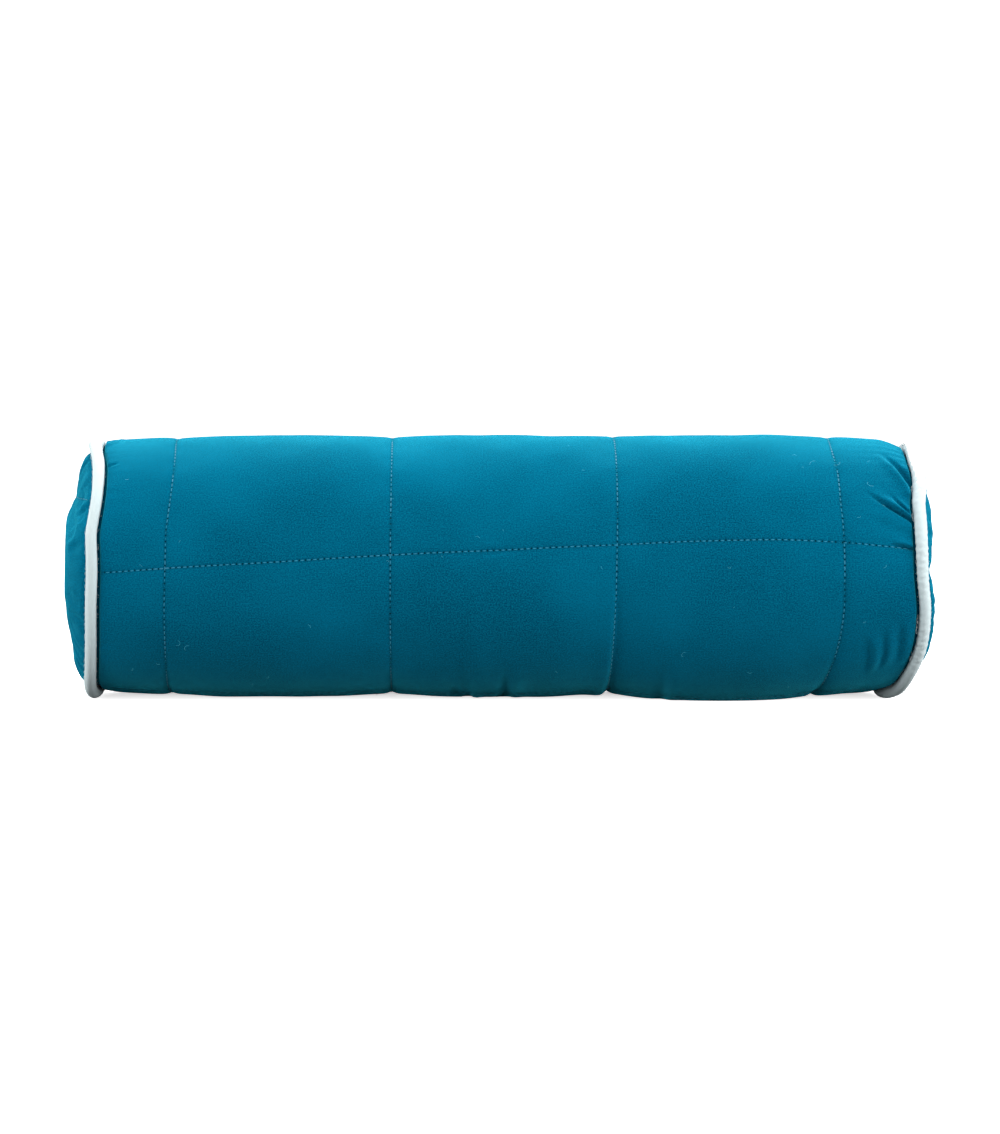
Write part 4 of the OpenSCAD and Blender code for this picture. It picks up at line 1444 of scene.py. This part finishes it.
@dataclass
class Stitching:
    """Lines of lock stitches laid in the sunk lines of the quilting."""

    shape: BolsterShape
    pitch: float = 3.5
    length: float = 2.3
    thread: float = 0.72

    def one_stitch(self) -> tuple[np.ndarray, list[tuple[int, ...]]]:
        """Model one stitch: a rounded thread whose two ends dive into the cloth.

        Returns:
            Its points in millimetres, lying along +X with +Z outwards, and its faces.
        """
        bpy.ops.object.select_all(action="DESELECT")
        lying = (0, math.pi / 2, 0)
        bpy.ops.mesh.primitive_uv_sphere_add(segments=8, ring_count=7, radius=0.5, rotation=lying)
        obj = bpy.context.active_object
        bpy.ops.object.transform_apply(location=True, rotation=True, scale=True)
        bpy.ops.object.mode_set(mode="EDIT")
        bpy.ops.mesh.select_all(action="SELECT")
        bpy.ops.transform.resize(value=(self.length, self.thread, self.thread * 0.9))
        bpy.ops.object.mode_set(mode="OBJECT")
        for tip in (-1.0, 1.0):
            for vertex in obj.data.vertices:
                vertex.select = vertex.co.x * tip > self.length * 0.38
            bpy.ops.object.mode_set(mode="EDIT")
            bpy.ops.transform.translate(value=(0.0, 0.0, -self.thread * 0.55))
            bpy.ops.object.mode_set(mode="OBJECT")
        points = np.array([v.co for v in obj.data.vertices])
        faces = [tuple(p.vertices) for p in obj.data.polygons]
        mesh = obj.data
        bpy.data.objects.remove(obj)
        bpy.data.meshes.remove(mesh)
        return points, faces

    def lay(self, name: str, lines: Sequence[np.ndarray], out: Sequence[np.ndarray]) -> bpy.types.Object:
        """Lay a stitch at each pitch along every line.

        Args:
            name: the piece's name.
            lines: for each line, its stitches' starts and ends: points in metres.
            out: for each line, which way is outwards at each stitch.

        Returns:
            One piece with all its stitches.
        """
        base, base_faces = self.one_stitch()
        points, faces, uv = [], [], []
        count = 0
        for line, normals in zip(lines, out):
            for (start, end), up in zip(line, normals):
                mid, along = (start + end) / 2, end - start
                along = along / np.linalg.norm(along)
                up = up - along * (up @ along)
                up = up / np.linalg.norm(up)
                side = np.cross(up, along)
                turned = base[:, :1] * along + base[:, 1:2] * side + base[:, 2:] * up
                points.append(mid + (turned + 0.66 * up) * MM)
                faces += [tuple(i + count for i in f) for f in base_faces]
                uv.append(base[:, :2] * 1.0)
                count += len(base)
        obj = make_mesh(name, np.concatenate(points), faces)
        add_uv(obj, "weave", np.concatenate(uv))
        face_outwards(obj)
        return obj

    def along_rows(self) -> bpy.types.Object:
        """Stitch the lengthwise rows from shoulder to shoulder."""
        s = self.shape
        lines, out = [], []
        for row in s.rows:
            first = math.ceil((-s.foot_x + 1.5) / self.pitch)
            starts = (np.arange(first, -first) + 0.5) * self.pitch
            starts = np.array([v for v in starts if abs(v) < s.foot_x - 1.0])
            mids = starts
            lines.append(self.pairs(mids, row.at(mids), row.at))
            out.append(self.outwards(row.at(mids)))
        return self.lay("quilting_row_stitches", lines, out)

    def pairs(
        self, mids: np.ndarray, angles: np.ndarray, at: Callable
    ) -> list[tuple[np.ndarray, np.ndarray]]:
        """Ends of each stitch of a lengthwise row.

        Args:
            mids: the stitches' middle stations.
            angles: their angles; not used.
            at: the row's angle at any station.

        Returns:
            A start and an end point for each.
        """
        s = self.shape
        a, b = mids - self.length / 2, mids + self.length / 2
        limit = s.shoulder_x

        def point(x: np.ndarray) -> np.ndarray:
            return s.seat(x, at(x), s.skin(np.clip(x, -limit, limit), at(x)) - self.roll(x))

        return list(zip(point(a), point(b)))

    def roll(self, x: np.ndarray) -> np.ndarray:
        """How far the shoulder has rounded over at a station past it."""
        s = self.shape
        t = np.clip((np.abs(x) - s.shoulder_x) / (s.foot_x - s.shoulder_x), 0, 1)
        return (s.shoulder_r - s.seam_r) * (1 - np.sqrt(1 - t * t))

    def outwards(self, angles: np.ndarray) -> np.ndarray:
        """Directions away from the axis."""
        a = np.radians(angles)
        return np.stack([0 * a, -np.cos(a), np.sin(a)], -1)

    def round_hoops(self) -> bpy.types.Object:
        """Stitch the hoops, leaving out what the zip's opening cuts away."""
        s = self.shape
        lines, out = [], []
        step = math.degrees(self.pitch / s.barrel_r)
        half = math.degrees(self.length / 2 / s.barrel_r)
        count = int(round(360.0 / step))
        for hoop in s.hoops:
            mids = (np.arange(-(count // 2), count - count // 2) + 0.5) * step
            open_gap = math.degrees(5.4 / s.land_h) if abs(hoop.station) < 180 else 0.0
            mids = np.array([m for m in mids if abs(float(wrapped(np.array(m - s.zip_angle)))) > open_gap])
            ends = [
                s.seat(hoop.at(a), a, s.skin(hoop.at(a), a)) for a in (mids - half, mids + half)
            ]
            lines.append(list(zip(*ends)))
            out.append(self.outwards(mids))
        return self.lay("quilting_hoop_stitches", lines, out)

    def round_zip(self, half_l: float, half_w: float) -> bpy.types.Object:
        """Topstitch a frame round the zip on its flat land.

        Args:
            half_l: half of the frame's length.
            half_w: half of its width.

        Returns:
            The finished piece.
        """
        s = self.shape
        turn = math.radians(90.0 - s.zip_angle)
        up = np.array([0.0, -math.sin(turn), math.cos(turn)])
        across = np.array([0.0, math.cos(turn), math.sin(turn)])
        lines, out = [], []
        corners = ((-half_l, -half_w), (half_l, -half_w), (half_l, half_w), (-half_l, half_w))
        for (x0, y0), (x1, y1) in zip(corners, corners[1:] + corners[:1]):
            length = math.hypot(x1 - x0, y1 - y0)
            n = max(1, round(length / 3.0))
            ends = []
            for k in range(n):
                pair = []
                for share in (0.14, 0.86):
                    t = (k + share) / n
                    x, y = x0 + (x1 - x0) * t, y0 + (y1 - y0) * t
                    angle = s.zip_angle - math.degrees(math.atan2(y, s.land_h))
                    r = float(s.skin(np.array(x), np.array(angle)))
                    height = r * math.cos(math.radians(angle - s.zip_angle))
                    pair.append(np.array([x, 0, s.axis_z]) * MM + (across * y + up * height) * MM)
                ends.append(tuple(pair))
            lines.append(ends)
            out.append(np.repeat(up[None], n, axis=0))
        return self.lay("zip_topstitches", lines, out)

    def across_panel(self, panel: EndPanel) -> bpy.types.Object:
        """Stitch the two crossing lines of an end panel.

        Args:
            panel: the panel they lie on.

        Returns:
            The finished piece.
        """
        s = self.shape
        limit = s.seam_r - 2.0
        lines, out = [], []
        for level in (True, False):
            fixed = panel.line_up if level else panel.line_back
            reach = math.sqrt(limit**2 - fixed**2)
            n = int(2 * reach / self.pitch)
            mids = (np.arange(n) - (n - 1) / 2) * self.pitch
            mids = np.round(mids / self.pitch - 0.5) * self.pitch + self.pitch / 2
            ends = []
            for shift in (-self.length / 2, self.length / 2):
                v = mids + shift
                y, z = (v, fixed + 0 * v) if level else (fixed + 0 * v, v)
                radius, angle = np.hypot(y, z), np.degrees(np.arctan2(z, -y))
                t = np.degrees(np.arccos(np.clip(radius / s.seam_r, 0, 1) ** (panel.power / 2)))
                x, _ = panel.surface(t, angle)
                ends.append(panel.place(x, angle, radius))
            lines.append(list(zip(*ends)))
            along_x = np.stack([panel.side + 0 * mids, 0 * mids, 0 * mids], -1)
            out.append(along_x)
        return self.lay(f"{panel.name}_end_quilting_stitches", lines, out)


# ---------------------------------------------------------------- hidden layers and zip


def merged_copy(node: str, name: str) -> bpy.types.Object:
    """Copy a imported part's mesh into a new piece, with its triangles joined.

    Args:
        node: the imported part.
        name: the new piece's name.

    Returns:
        The copy, at the origin.
    """
    obj = bpy.data.objects.new(name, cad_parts[node].data.copy())
    bpy.context.scene.collection.objects.link(obj)
    only(obj)
    bpy.ops.object.mode_set(mode="EDIT")
    bpy.ops.mesh.select_all(action="SELECT")
    bpy.ops.mesh.remove_doubles(threshold=1e-6)
    bpy.ops.object.mode_set(mode="OBJECT")
    return obj


@dataclass
class LooseFibres:
    """Fine hairs and lint that stand on the cloth and fray from the piping's seam."""

    shape: BolsterShape
    thick: float = 0.11
    sides: int = 5
    steps: int = 9

    def hair(self, start: np.ndarray, length: float, bend: float, turn: float) -> np.ndarray:
        """Set out one curled hair over the barrel.

        Args:
            start: its station, its angle and its height over the cloth.
            length: its length.
            bend: how much it curls, in degrees.
            turn: which way it sets off.

        Returns:
            Its points as stations, angles and heights.
        """
        t = np.linspace(0.0, 1.0, self.steps)
        way = np.radians(turn + bend * t)
        step = length / (self.steps - 1)
        x = start[0] + np.cumsum(np.cos(way)) * step
        a = start[1] + np.cumsum(np.sin(way)) * step / math.radians(1.0) / self.shape.barrel_r
        return np.stack([x, a, start[2] + 0.5 * np.sin(math.pi * t)], -1)

    def sweep(self, path: np.ndarray, thick: float) -> tuple[np.ndarray, list[tuple[int, ...]]]:
        """Make a hair round, with tapering ends.

        Args:
            path: its points in metres.
            thick: its thickness in millimetres.

        Returns:
            Its points and faces.
        """
        along = np.gradient(path, axis=0)
        along = along / np.linalg.norm(along, axis=1)[:, None]
        up = np.cross(along, np.array([0.3, 0.2, 0.93]))
        up = up / np.linalg.norm(up, axis=1)[:, None]
        side = np.cross(along, up)
        turn = np.arange(self.sides) * 2 * math.pi / self.sides
        size = thick * MM / 2 * np.array([0.3] + [1.0] * (len(path) - 2) + [0.3])
        ring = up[:, None] * np.cos(turn)[None, :, None] + side[:, None] * np.sin(turn)[None, :, None]
        points = (path[:, None] + ring * size[:, None, None]).reshape(-1, 3)
        faces = [tuple(f) for f in grid_faces(len(path), self.sides, True)]
        last = (len(path) - 1) * self.sides
        faces += [tuple(range(self.sides)), tuple(last + k for k in reversed(range(self.sides)))]
        return points, faces

    def build(self, name: str, hairs: Sequence[np.ndarray], thick: float) -> bpy.types.Object:
        """Join hairs into one piece.

        Args:
            name: the piece's name.
            hairs: their points in metres.
            thick: their thickness.

        Returns:
            The finished piece.
        """
        points, faces, count = [], [], 0
        for hair in hairs:
            p, f = self.sweep(hair, thick)
            points.append(p)
            faces += [tuple(i + count for i in face) for face in f]
            count += len(p)
        obj = make_mesh(name, np.concatenate(points), faces)
        face_outwards(obj)
        return obj

    def lint(self) -> bpy.types.Object:
        """Scatter lint over the barrel, with a few curls."""
        s = self.shape
        rng = np.random.default_rng(7)
        hairs = []
        spots = [
            (-176.0, -33.0), (-183.0, -30.0), (178.0, 56.0), (186.0, 55.0), (207.0, 42.0), (105.0, -33.0),
        ]
        spots += [(float(rng.uniform(-220, 220)), float(rng.uniform(-180, 180))) for _ in range(70)]
        for k, (x, a) in enumerate(spots):
            if abs(float(wrapped(np.array(a - s.zip_angle)))) < 14:
                continue
            length = 6.0 if k < 6 else float(rng.uniform(1.2, 3.4))
            bend = float(rng.uniform(60, 200)) * (1 if rng.random() < 0.5 else -1)
            path = self.hair(np.array([x, a, 0.25]), length, bend, float(rng.uniform(0, 360)))
            x, a = np.clip(path[:, 0], -s.shoulder_x, s.shoulder_x), path[:, 1]
            hairs.append(s.seat(x, a, s.skin(x, a) + path[:, 2]))
        return self.build("loose_lint_fibres", hairs, self.thick)

    def frays(self) -> bpy.types.Object:
        """Fray fine fibres from the seams on both sides of the piping."""
        s = self.shape
        rng = np.random.default_rng(11)
        hairs = []
        ends = ((-1.0, 170, -1.0), (-1.0, 40, 1.0), (1.0, 60, -1.0), (1.0, 60, 1.0))
        for side, count, face in ends:
            for _ in range(count):
                a0 = float(rng.uniform(-80, 80)) if rng.random() < 0.7 else float(rng.uniform(80, 280))
                length = float(rng.uniform(0.9, 2.4))
                t = np.linspace(0, 1, 5)
                x = side * s.seam_x + face * (3.0 + 0.9 * np.sin(2.4 * t))
                r = s.seam_r + 1.2 + length * t
                a = a0 + float(rng.uniform(-1.6, 1.6)) * t
                hairs.append(s.seat(x, a, r))
        loops = ((1.0, 41.5), (1.0, -19.0), (1.0, -22.0), (1.0, -24.5), (1.0, 27.0), (1.0, -40.0))
        for side, a0 in loops:
            t = np.linspace(0, 1, 11)
            x = side * s.seam_x - side * (3.4 + 1.3 * np.sin(math.pi * t))
            r = s.seam_r + 3.0 + 3.6 * np.sin(math.pi * t) ** 0.7
            hairs.append(s.seat(x, a0 + 1.5 * np.cos(math.pi * t) + 0.7 * np.sin(2 * math.pi * t), r))
        return self.build("frayed_seam_fibres", hairs, self.thick)


@dataclass
class HiddenLayers:
    """Layers inside the cover, which follow the lean of its end seams."""

    shape: BolsterShape

    def follow(self, node: str, shrink: float, inwards: float) -> bpy.types.Object:
        """Copy a layer and let it lean with the end seams.

        Args:
            node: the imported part.
            shrink: how far its outside is drawn in towards the axis.
            inwards: how far it is drawn in along the bolster.

        Returns:
            The new piece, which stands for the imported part.
        """
        s = self.shape
        obj = merged_copy(node, node + "_layer")
        p = places_of(obj)
        up = p[:, 2] - s.axis_z
        r, a = np.hypot(p[:, 1], up), np.degrees(np.arctan2(up, -p[:, 1]))
        r = np.where(r > 20, r - shrink, r)
        x = p[:, 0] - np.sign(p[:, 0]) * inwards * smooth_step(150.0, 225.0, np.abs(p[:, 0]))
        inner = smooth_step(30.0, s.seam_r, r)
        moved = np.stack([
            x + s.lean(x, a) * inner,
            -r * np.cos(np.radians(a)),
            np.maximum(s.axis_z + r * np.sin(np.radians(a)), 0.4),
        ], -1)
        obj.data.vertices.foreach_set("co", (moved * MM).ravel())
        obj.data.update()
        only(obj)
        bpy.ops.object.shade_smooth_by_angle(angle=math.radians(40))
        return obj


@dataclass
class ZipHardware:
    """The slider and the pull, with the rounded edges of cast and stamped metal."""

    edge: float = 0.22
    segments: int = 3

    def rounded(self, node: str, name: str) -> bpy.types.Object:
        """Copy a metal part and round its edges.

        Args:
            node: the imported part.
            name: the new piece's name.

        Returns:
            The new piece.
        """
        obj = merged_copy(node, name)
        bpy.ops.object.mode_set(mode="EDIT")
        bpy.ops.mesh.select_all(action="SELECT")
        bpy.ops.mesh.dissolve_limited(angle_limit=math.radians(1.0))
        bpy.ops.object.mode_set(mode="OBJECT")
        bevel = obj.modifiers.new("rounded edges", "BEVEL")
        bevel.width = self.edge * MM
        bevel.segments = self.segments
        bevel.limit_method = "ANGLE"
        bevel.angle_limit = math.radians(50)
        bevel.use_clamp_overlap = True
        apply_all(obj)
        bpy.ops.object.shade_smooth_by_angle(angle=math.radians(35))
        return obj


# ---------------------------------------------------------------- studio


@dataclass(frozen=True)
class SoftBox:
    """A rectangular studio light."""

    name: str
    place: tuple[float, float, float]
    size: tuple[float, float]
    power: float
    colour: tuple[float, float, float] = (1.0, 1.0, 1.0)

    def build(self, target: tuple[float, float, float]) -> bpy.types.Object:
        """Hang the light so that it faces a point.

        Args:
            target: the point, in metres.

        Returns:
            The light.
        """
        data = bpy.data.lights.new(self.name, "AREA")
        data.shape = "RECTANGLE"
        data.size, data.size_y = self.size
        data.energy = self.power
        data.color = self.colour
        obj = bpy.data.objects.new(self.name, data)
        bpy.context.scene.collection.objects.link(obj)
        obj.location = self.place
        away = bpy.data.objects.new(self.name, None).location.copy()
        away.xyz = target
        obj.rotation_euler = (away - obj.location).to_track_quat("-Z", "Y").to_euler()
        return obj


@dataclass
class Studio:
    """A plain white floor, soft light and the camera."""

    distance: float = 2.35
    elevation: float = 4.0
    lens: float = 129.4
    floor_half: float = 6.0
    glow_everywhere: float = 0.27
    glow_far_off: float = 1.1
    bounce: float = 0.19

    def floor(self) -> bpy.types.Object:
        """Lay the floor as one flat sheet.

        The floor shows white, glows more away from the bolster, and throws back little light.
        """
        bpy.ops.object.select_all(action="DESELECT")
        bpy.ops.mesh.primitive_grid_add(x_subdivisions=24, y_subdivisions=24, size=2 * self.floor_half)
        obj = bpy.context.active_object
        obj.name = "studio_floor"
        m = Nodes("studio_floor_white")
        seen = m.add("LightPath").outputs["Is Camera Ray"]
        grain = m.noise(m.place(None), 0.01, 2.0)
        tone = m.mix(m.spread(grain, 0.0, 1.0), (0.93, 0.93, 0.93, 1.0), (0.95, 0.95, 0.95, 1.0))
        white = m.add("BsdfDiffuse", {"Color": tone}).outputs[0]
        spot = m.add("SeparateXYZ", {0: m.place(None)})
        ahead = m.spread(spot.outputs[1], 60.0, -60.0)
        behind = m.spread(spot.outputs[1], 620.0, 1150.0)
        aside = m.spread(m.maths("ABSOLUTE", spot.outputs[0]), 420.0, 700.0)
        far_off = m.maths("MAXIMUM", m.maths("MAXIMUM", ahead, behind), aside)
        extra = m.maths("MULTIPLY", far_off, self.glow_far_off)
        glow_power = m.maths("ADD", extra, self.glow_everywhere)
        glow = m.add("Emission", {"Strength": glow_power}).outputs[0]
        lit = m.add("AddShader", {0: white, 1: glow}).outputs[0]
        dim = m.add("BsdfDiffuse", {"Color": (self.bounce,) * 3 + (1.0,)}).outputs[0]
        both = m.add("MixShader", {0: seen, 1: dim, 2: lit}).outputs[0]
        m.tree.links.new(both, m.tree.nodes["Material Output"].inputs["Surface"])
        obj.data.materials.append(m.material)
        return obj

    def world(self) -> None:
        """Fill the surroundings with even light, and show them white."""
        world = bpy.data.worlds.new("studio_air")
        bpy.context.scene.world = world
        world.use_nodes = True
        tree = world.node_tree
        light = tree.nodes["Background"]
        light.inputs["Color"].default_value = (1.0, 1.0, 1.0, 1.0)
        light.inputs["Strength"].default_value = 0.06
        white = tree.nodes.new("ShaderNodeBackground")
        white.inputs["Strength"].default_value = 4.0
        ray = tree.nodes.new("ShaderNodeLightPath")
        both = tree.nodes.new("ShaderNodeMixShader")
        tree.links.new(ray.outputs["Is Camera Ray"], both.inputs[0])
        tree.links.new(light.outputs[0], both.inputs[1])
        tree.links.new(white.outputs[0], both.inputs[2])
        tree.links.new(both.outputs[0], tree.nodes["World Output"].inputs["Surface"])

    def lights(self) -> None:
        """Hang the soft boxes: behind, overhead, in front, and one at each end."""
        target = (0.0, 0.0, 0.08)
        boxes = (
            SoftBox("key_behind", (0.0, 0.9, 1.3), (2.0, 0.8), 50.0),
            SoftBox("overhead", (0.0, 0.0, 1.6), (2.2, 1.2), 34.0),
            SoftBox("front_fill", (0.15, -2.2, 0.8), (2.6, 1.4), 34.0),
            SoftBox("left_fill", (-1.6, -0.5, 0.3), (1.0, 0.7), 28.0),
            SoftBox("right_fill", (1.6, -0.6, 0.4), (1.0, 0.9), 40.0),
        )
        for box in boxes:
            box.build(target)

    def camera(self, middle: tuple[float, float, float]) -> None:
        """Aim the camera at the middle of the bolster, from the front and a little above.

        Args:
            middle: the point to aim at, in metres.
        """
        data = bpy.data.cameras.new("camera")
        data.lens = self.lens
        data.sensor_width = 36.0
        data.clip_end = 50.0
        obj = bpy.data.objects.new("camera", data)
        bpy.context.scene.collection.objects.link(obj)
        rise = math.radians(self.elevation)
        obj.location = (
            middle[0], middle[1] - self.distance * math.cos(rise), middle[2] + self.distance * math.sin(rise),
        )
        obj.rotation_euler = (math.radians(90.0) - rise, 0.0, 0.0)
        bpy.context.scene.camera = obj

    def film(self) -> None:
        """Set how the picture's brightness is shown: the Standard view, with no look."""
        view = bpy.context.scene.view_settings
        view.view_transform = "Standard"
        view.look = "None"


# ---------------------------------------------------------------- putting it together


@dataclass
class Bolster:
    """Builds every piece, dresses it and says which body it rides on."""

    materials: dict[str, bpy.types.Material] = field(default_factory=dict)

    def finish_of(self, key: str) -> bpy.types.Material:
        """Build a finish once and keep it."""
        if key not in self.materials:
            self.materials[key] = FINISHES[key].build()
        return self.materials[key]

    def settle(self, obj: bpy.types.Object, finish: str, slot: str, body: str, *stands_for: str) -> None:
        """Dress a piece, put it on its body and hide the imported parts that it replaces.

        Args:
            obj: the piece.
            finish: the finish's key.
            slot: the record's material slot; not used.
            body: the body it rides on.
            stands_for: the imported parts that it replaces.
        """
        obj.data.materials.clear()
        obj.data.materials.append(self.finish_of(finish))
        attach(obj, body)
        if stands_for:
            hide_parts(*stands_for)
        log.info("%s: %d faces, on %s", obj.name, len(obj.data.polygons), body)

    def dress_packed(self, node: str, finish: str) -> None:
        """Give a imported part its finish."""
        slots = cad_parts[node].material_slots
        material = self.finish_of(finish)
        for entry in slots:
            entry.link = "OBJECT"
            entry.material = material
        if not slots:
            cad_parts[node].data.materials.append(material)
        log.info("%s: packed part, dressed", node)

    def build(self) -> None:
        """Build the whole bolster."""
        shape = bolster_shape()
        barrel = Barrel(shape)
        panels = (
            EndPanel(shape, -1.0, 42.0, 15.0, 0.22, 2.6, 2.4, -0.3, folds=(
                (36.0, 1.2, 2.0, 16.0), (-42.0, 0.9, 2.6, 22.0), (-54.0, 0.9, 2.2, 20.0),
                (-24.0, 0.5, 2.4, 18.0), (75.0, 1.4, 2.4, 18.0), (128.0, 1.5, 2.6, 20.0),
                (-120.0, 1.6, 2.8, 22.0),
            )),
            EndPanel(shape, 1.0, 2.0, -12.0, 0.14, 4.8, 1.3, 3.2, folds=(
                (22.0, 0.6, 2.4, 20.0), (-18.0, 0.6, 2.4, 20.0), (58.0, 1.4, 2.8, 20.0),
                (150.0, 1.4, 2.6, 22.0), (-70.0, 1.8, 2.8, 24.0), (-140.0, 1.3, 2.6, 20.0),
            )),
        )
        barrel.simulate()
        for panel in panels:
            panel.simulate()
        cloth = barrel.face_cloth()
        self.settle(cloth, "face_cotton", "face_cotton", "root", "barrel_face_cloth")
        pad = barrel.wadding()
        self.settle(pad, "wadding", "wadding", "root", "barrel_wadding")
        stitching = Stitching(shape)
        for panel in panels:
            cloth = panel.face_cloth()
            self.settle(cloth, "end_cotton", "face_cotton", "root", f"{panel.name}_end_face_cloth")
            stitches = stitching.across_panel(panel)
            node = f"{panel.name}_end_quilting_thread"
            self.settle(stitches, "sewing_thread", "sewing_thread", "root", node)
            pad = panel.layer(f"{panel.name}_end_wadding_pad", 1.0, 2.6)
            self.settle(pad, "wadding", "wadding", "root", f"{panel.name}_end_wadding")
            lining = panel.layer(f"{panel.name}_end_lining_cloth", 3.9, 0.5)
            self.settle(lining, "lining_cotton", "lining_cotton", "root", f"{panel.name}_end_lining")
        self.pipe_ends(shape)
        self.stitch_barrel(stitching)
        fibres = LooseFibres(shape)
        self.settle(fibres.lint(), "lint", "sewing_thread", "root")
        self.settle(fibres.frays(), "frays", "piping_cotton", "root")
        self.fill(shape)
        self.fit_zip()

    def pipe_ends(self, shape: BolsterShape) -> None:
        """Build the two rings of piping."""
        even = (
            (-180.0, 0.98), (-90.0, 0.98), (0.0, 0.9), (60.0, 0.95), (76.0, 1.02), (87.0, 1.28), (98.0, 1.0),
        )
        raised = ((-180.0, 1.0), (-90.0, 1.0), (0.0, 1.0), (70.0, 1.0), (86.0, 1.12), (100.0, 1.0))
        full = (
            (-180.0, 1.0), (-90.0, 1.0), (-50.0, 0.96), (0.0, 0.92), (30.0, 1.02), (45.0, 1.1), (70.0, 1.02),
        )
        level = ((-180.0, 1.0), (0.0, 1.0))
        rings = (
            Piping(shape, -1.0, even, raised, joins=(55.0, 48.0)),
            Piping(shape, 1.0, full, level, wrinkle=0.13),
        )
        for ring in rings:
            self.settle(
                ring.build(), "piping_cotton", "piping_cotton", "root", f"{ring.name}_piping_bias_strip"
            )

    def stitch_barrel(self, stitching: Stitching) -> None:
        """Lay the barrel's quilting stitches and the zip's topstitches."""
        rows = stitching.along_rows()
        self.settle(rows, "sewing_thread", "sewing_thread", "root", "quilting_row_threads")
        hoops = stitching.round_hoops()
        self.settle(hoops, "sewing_thread", "sewing_thread", "root", "quilting_hoop_threads")
        frame_stitches = stitching.round_zip(184.0, 10.5)
        self.settle(frame_stitches, "sewing_thread", "sewing_thread", "root", "zip_topstitch_thread")

    def fill(self, shape: BolsterShape) -> None:
        """Bring along the hidden layers inside the cover."""
        hidden = HiddenLayers(shape)
        layers = [
            ("barrel_lining", "lining_cotton", "lining_cotton", 1.4, 1.0),
            ("inner_casing_barrel", "casing_cotton", "casing_cotton", 2.2, 5.0),
            ("inner_casing_left_end", "casing_cotton", "casing_cotton", 2.2, 5.0),
            ("inner_casing_right_end", "casing_cotton", "casing_cotton", 2.2, 5.0),
            ("inner_casing_closing_stitches", "casing_thread", "casing_thread", 2.2, 5.0),
            ("polyester_filling", "filling_fibre", "filling_fibre", 2.6, 5.2),
            ("back_seam_threads", "hidden_thread", "sewing_thread", 0.0, 0.0),
        ]
        for end in ("left", "right"):
            layers += [
                (f"{end}_piping_cord", "piping_cord", "piping_cord", 0.0, 0.0),
                (f"{end}_seam_threads", "hidden_thread", "sewing_thread", 0.0, 0.0),
            ]
        for node, finish, slot, shrink, inwards in layers:
            obj = hidden.follow(node, shrink, inwards)
            self.settle(obj, finish, slot, "root", node)

    def fit_zip(self) -> None:
        """Dress the zip, and round the edges of its slider and pull."""
        for node in ("zip_tape_upper", "zip_tape_lower"):
            self.dress_packed(node, "zip_tape")
        for node in ("zip_teeth_upper", "zip_teeth_lower"):
            self.dress_packed(node, "zip_teeth")
        for node in ("zip_top_stops", "zip_bottom_stop"):
            self.dress_packed(node, "zip_metal")
        hardware = ZipHardware()
        for node in ("zip_slider", "zip_pull"):
            obj = hardware.rounded(node, node + "_cast")
            self.settle(obj, "zip_metal", "zip_metal", node, node)


def main() -> None:
    """Build the studio and the bolster."""
    logging.basicConfig(level=logging.INFO, format="%(message)s")
    studio = Studio()
    studio.film()
    studio.world()
    studio.floor()
    studio.lights()
    studio.camera((0.0, 0.0, 0.0757))
    Bolster().build()


if __name__ == "__main__":
    main()
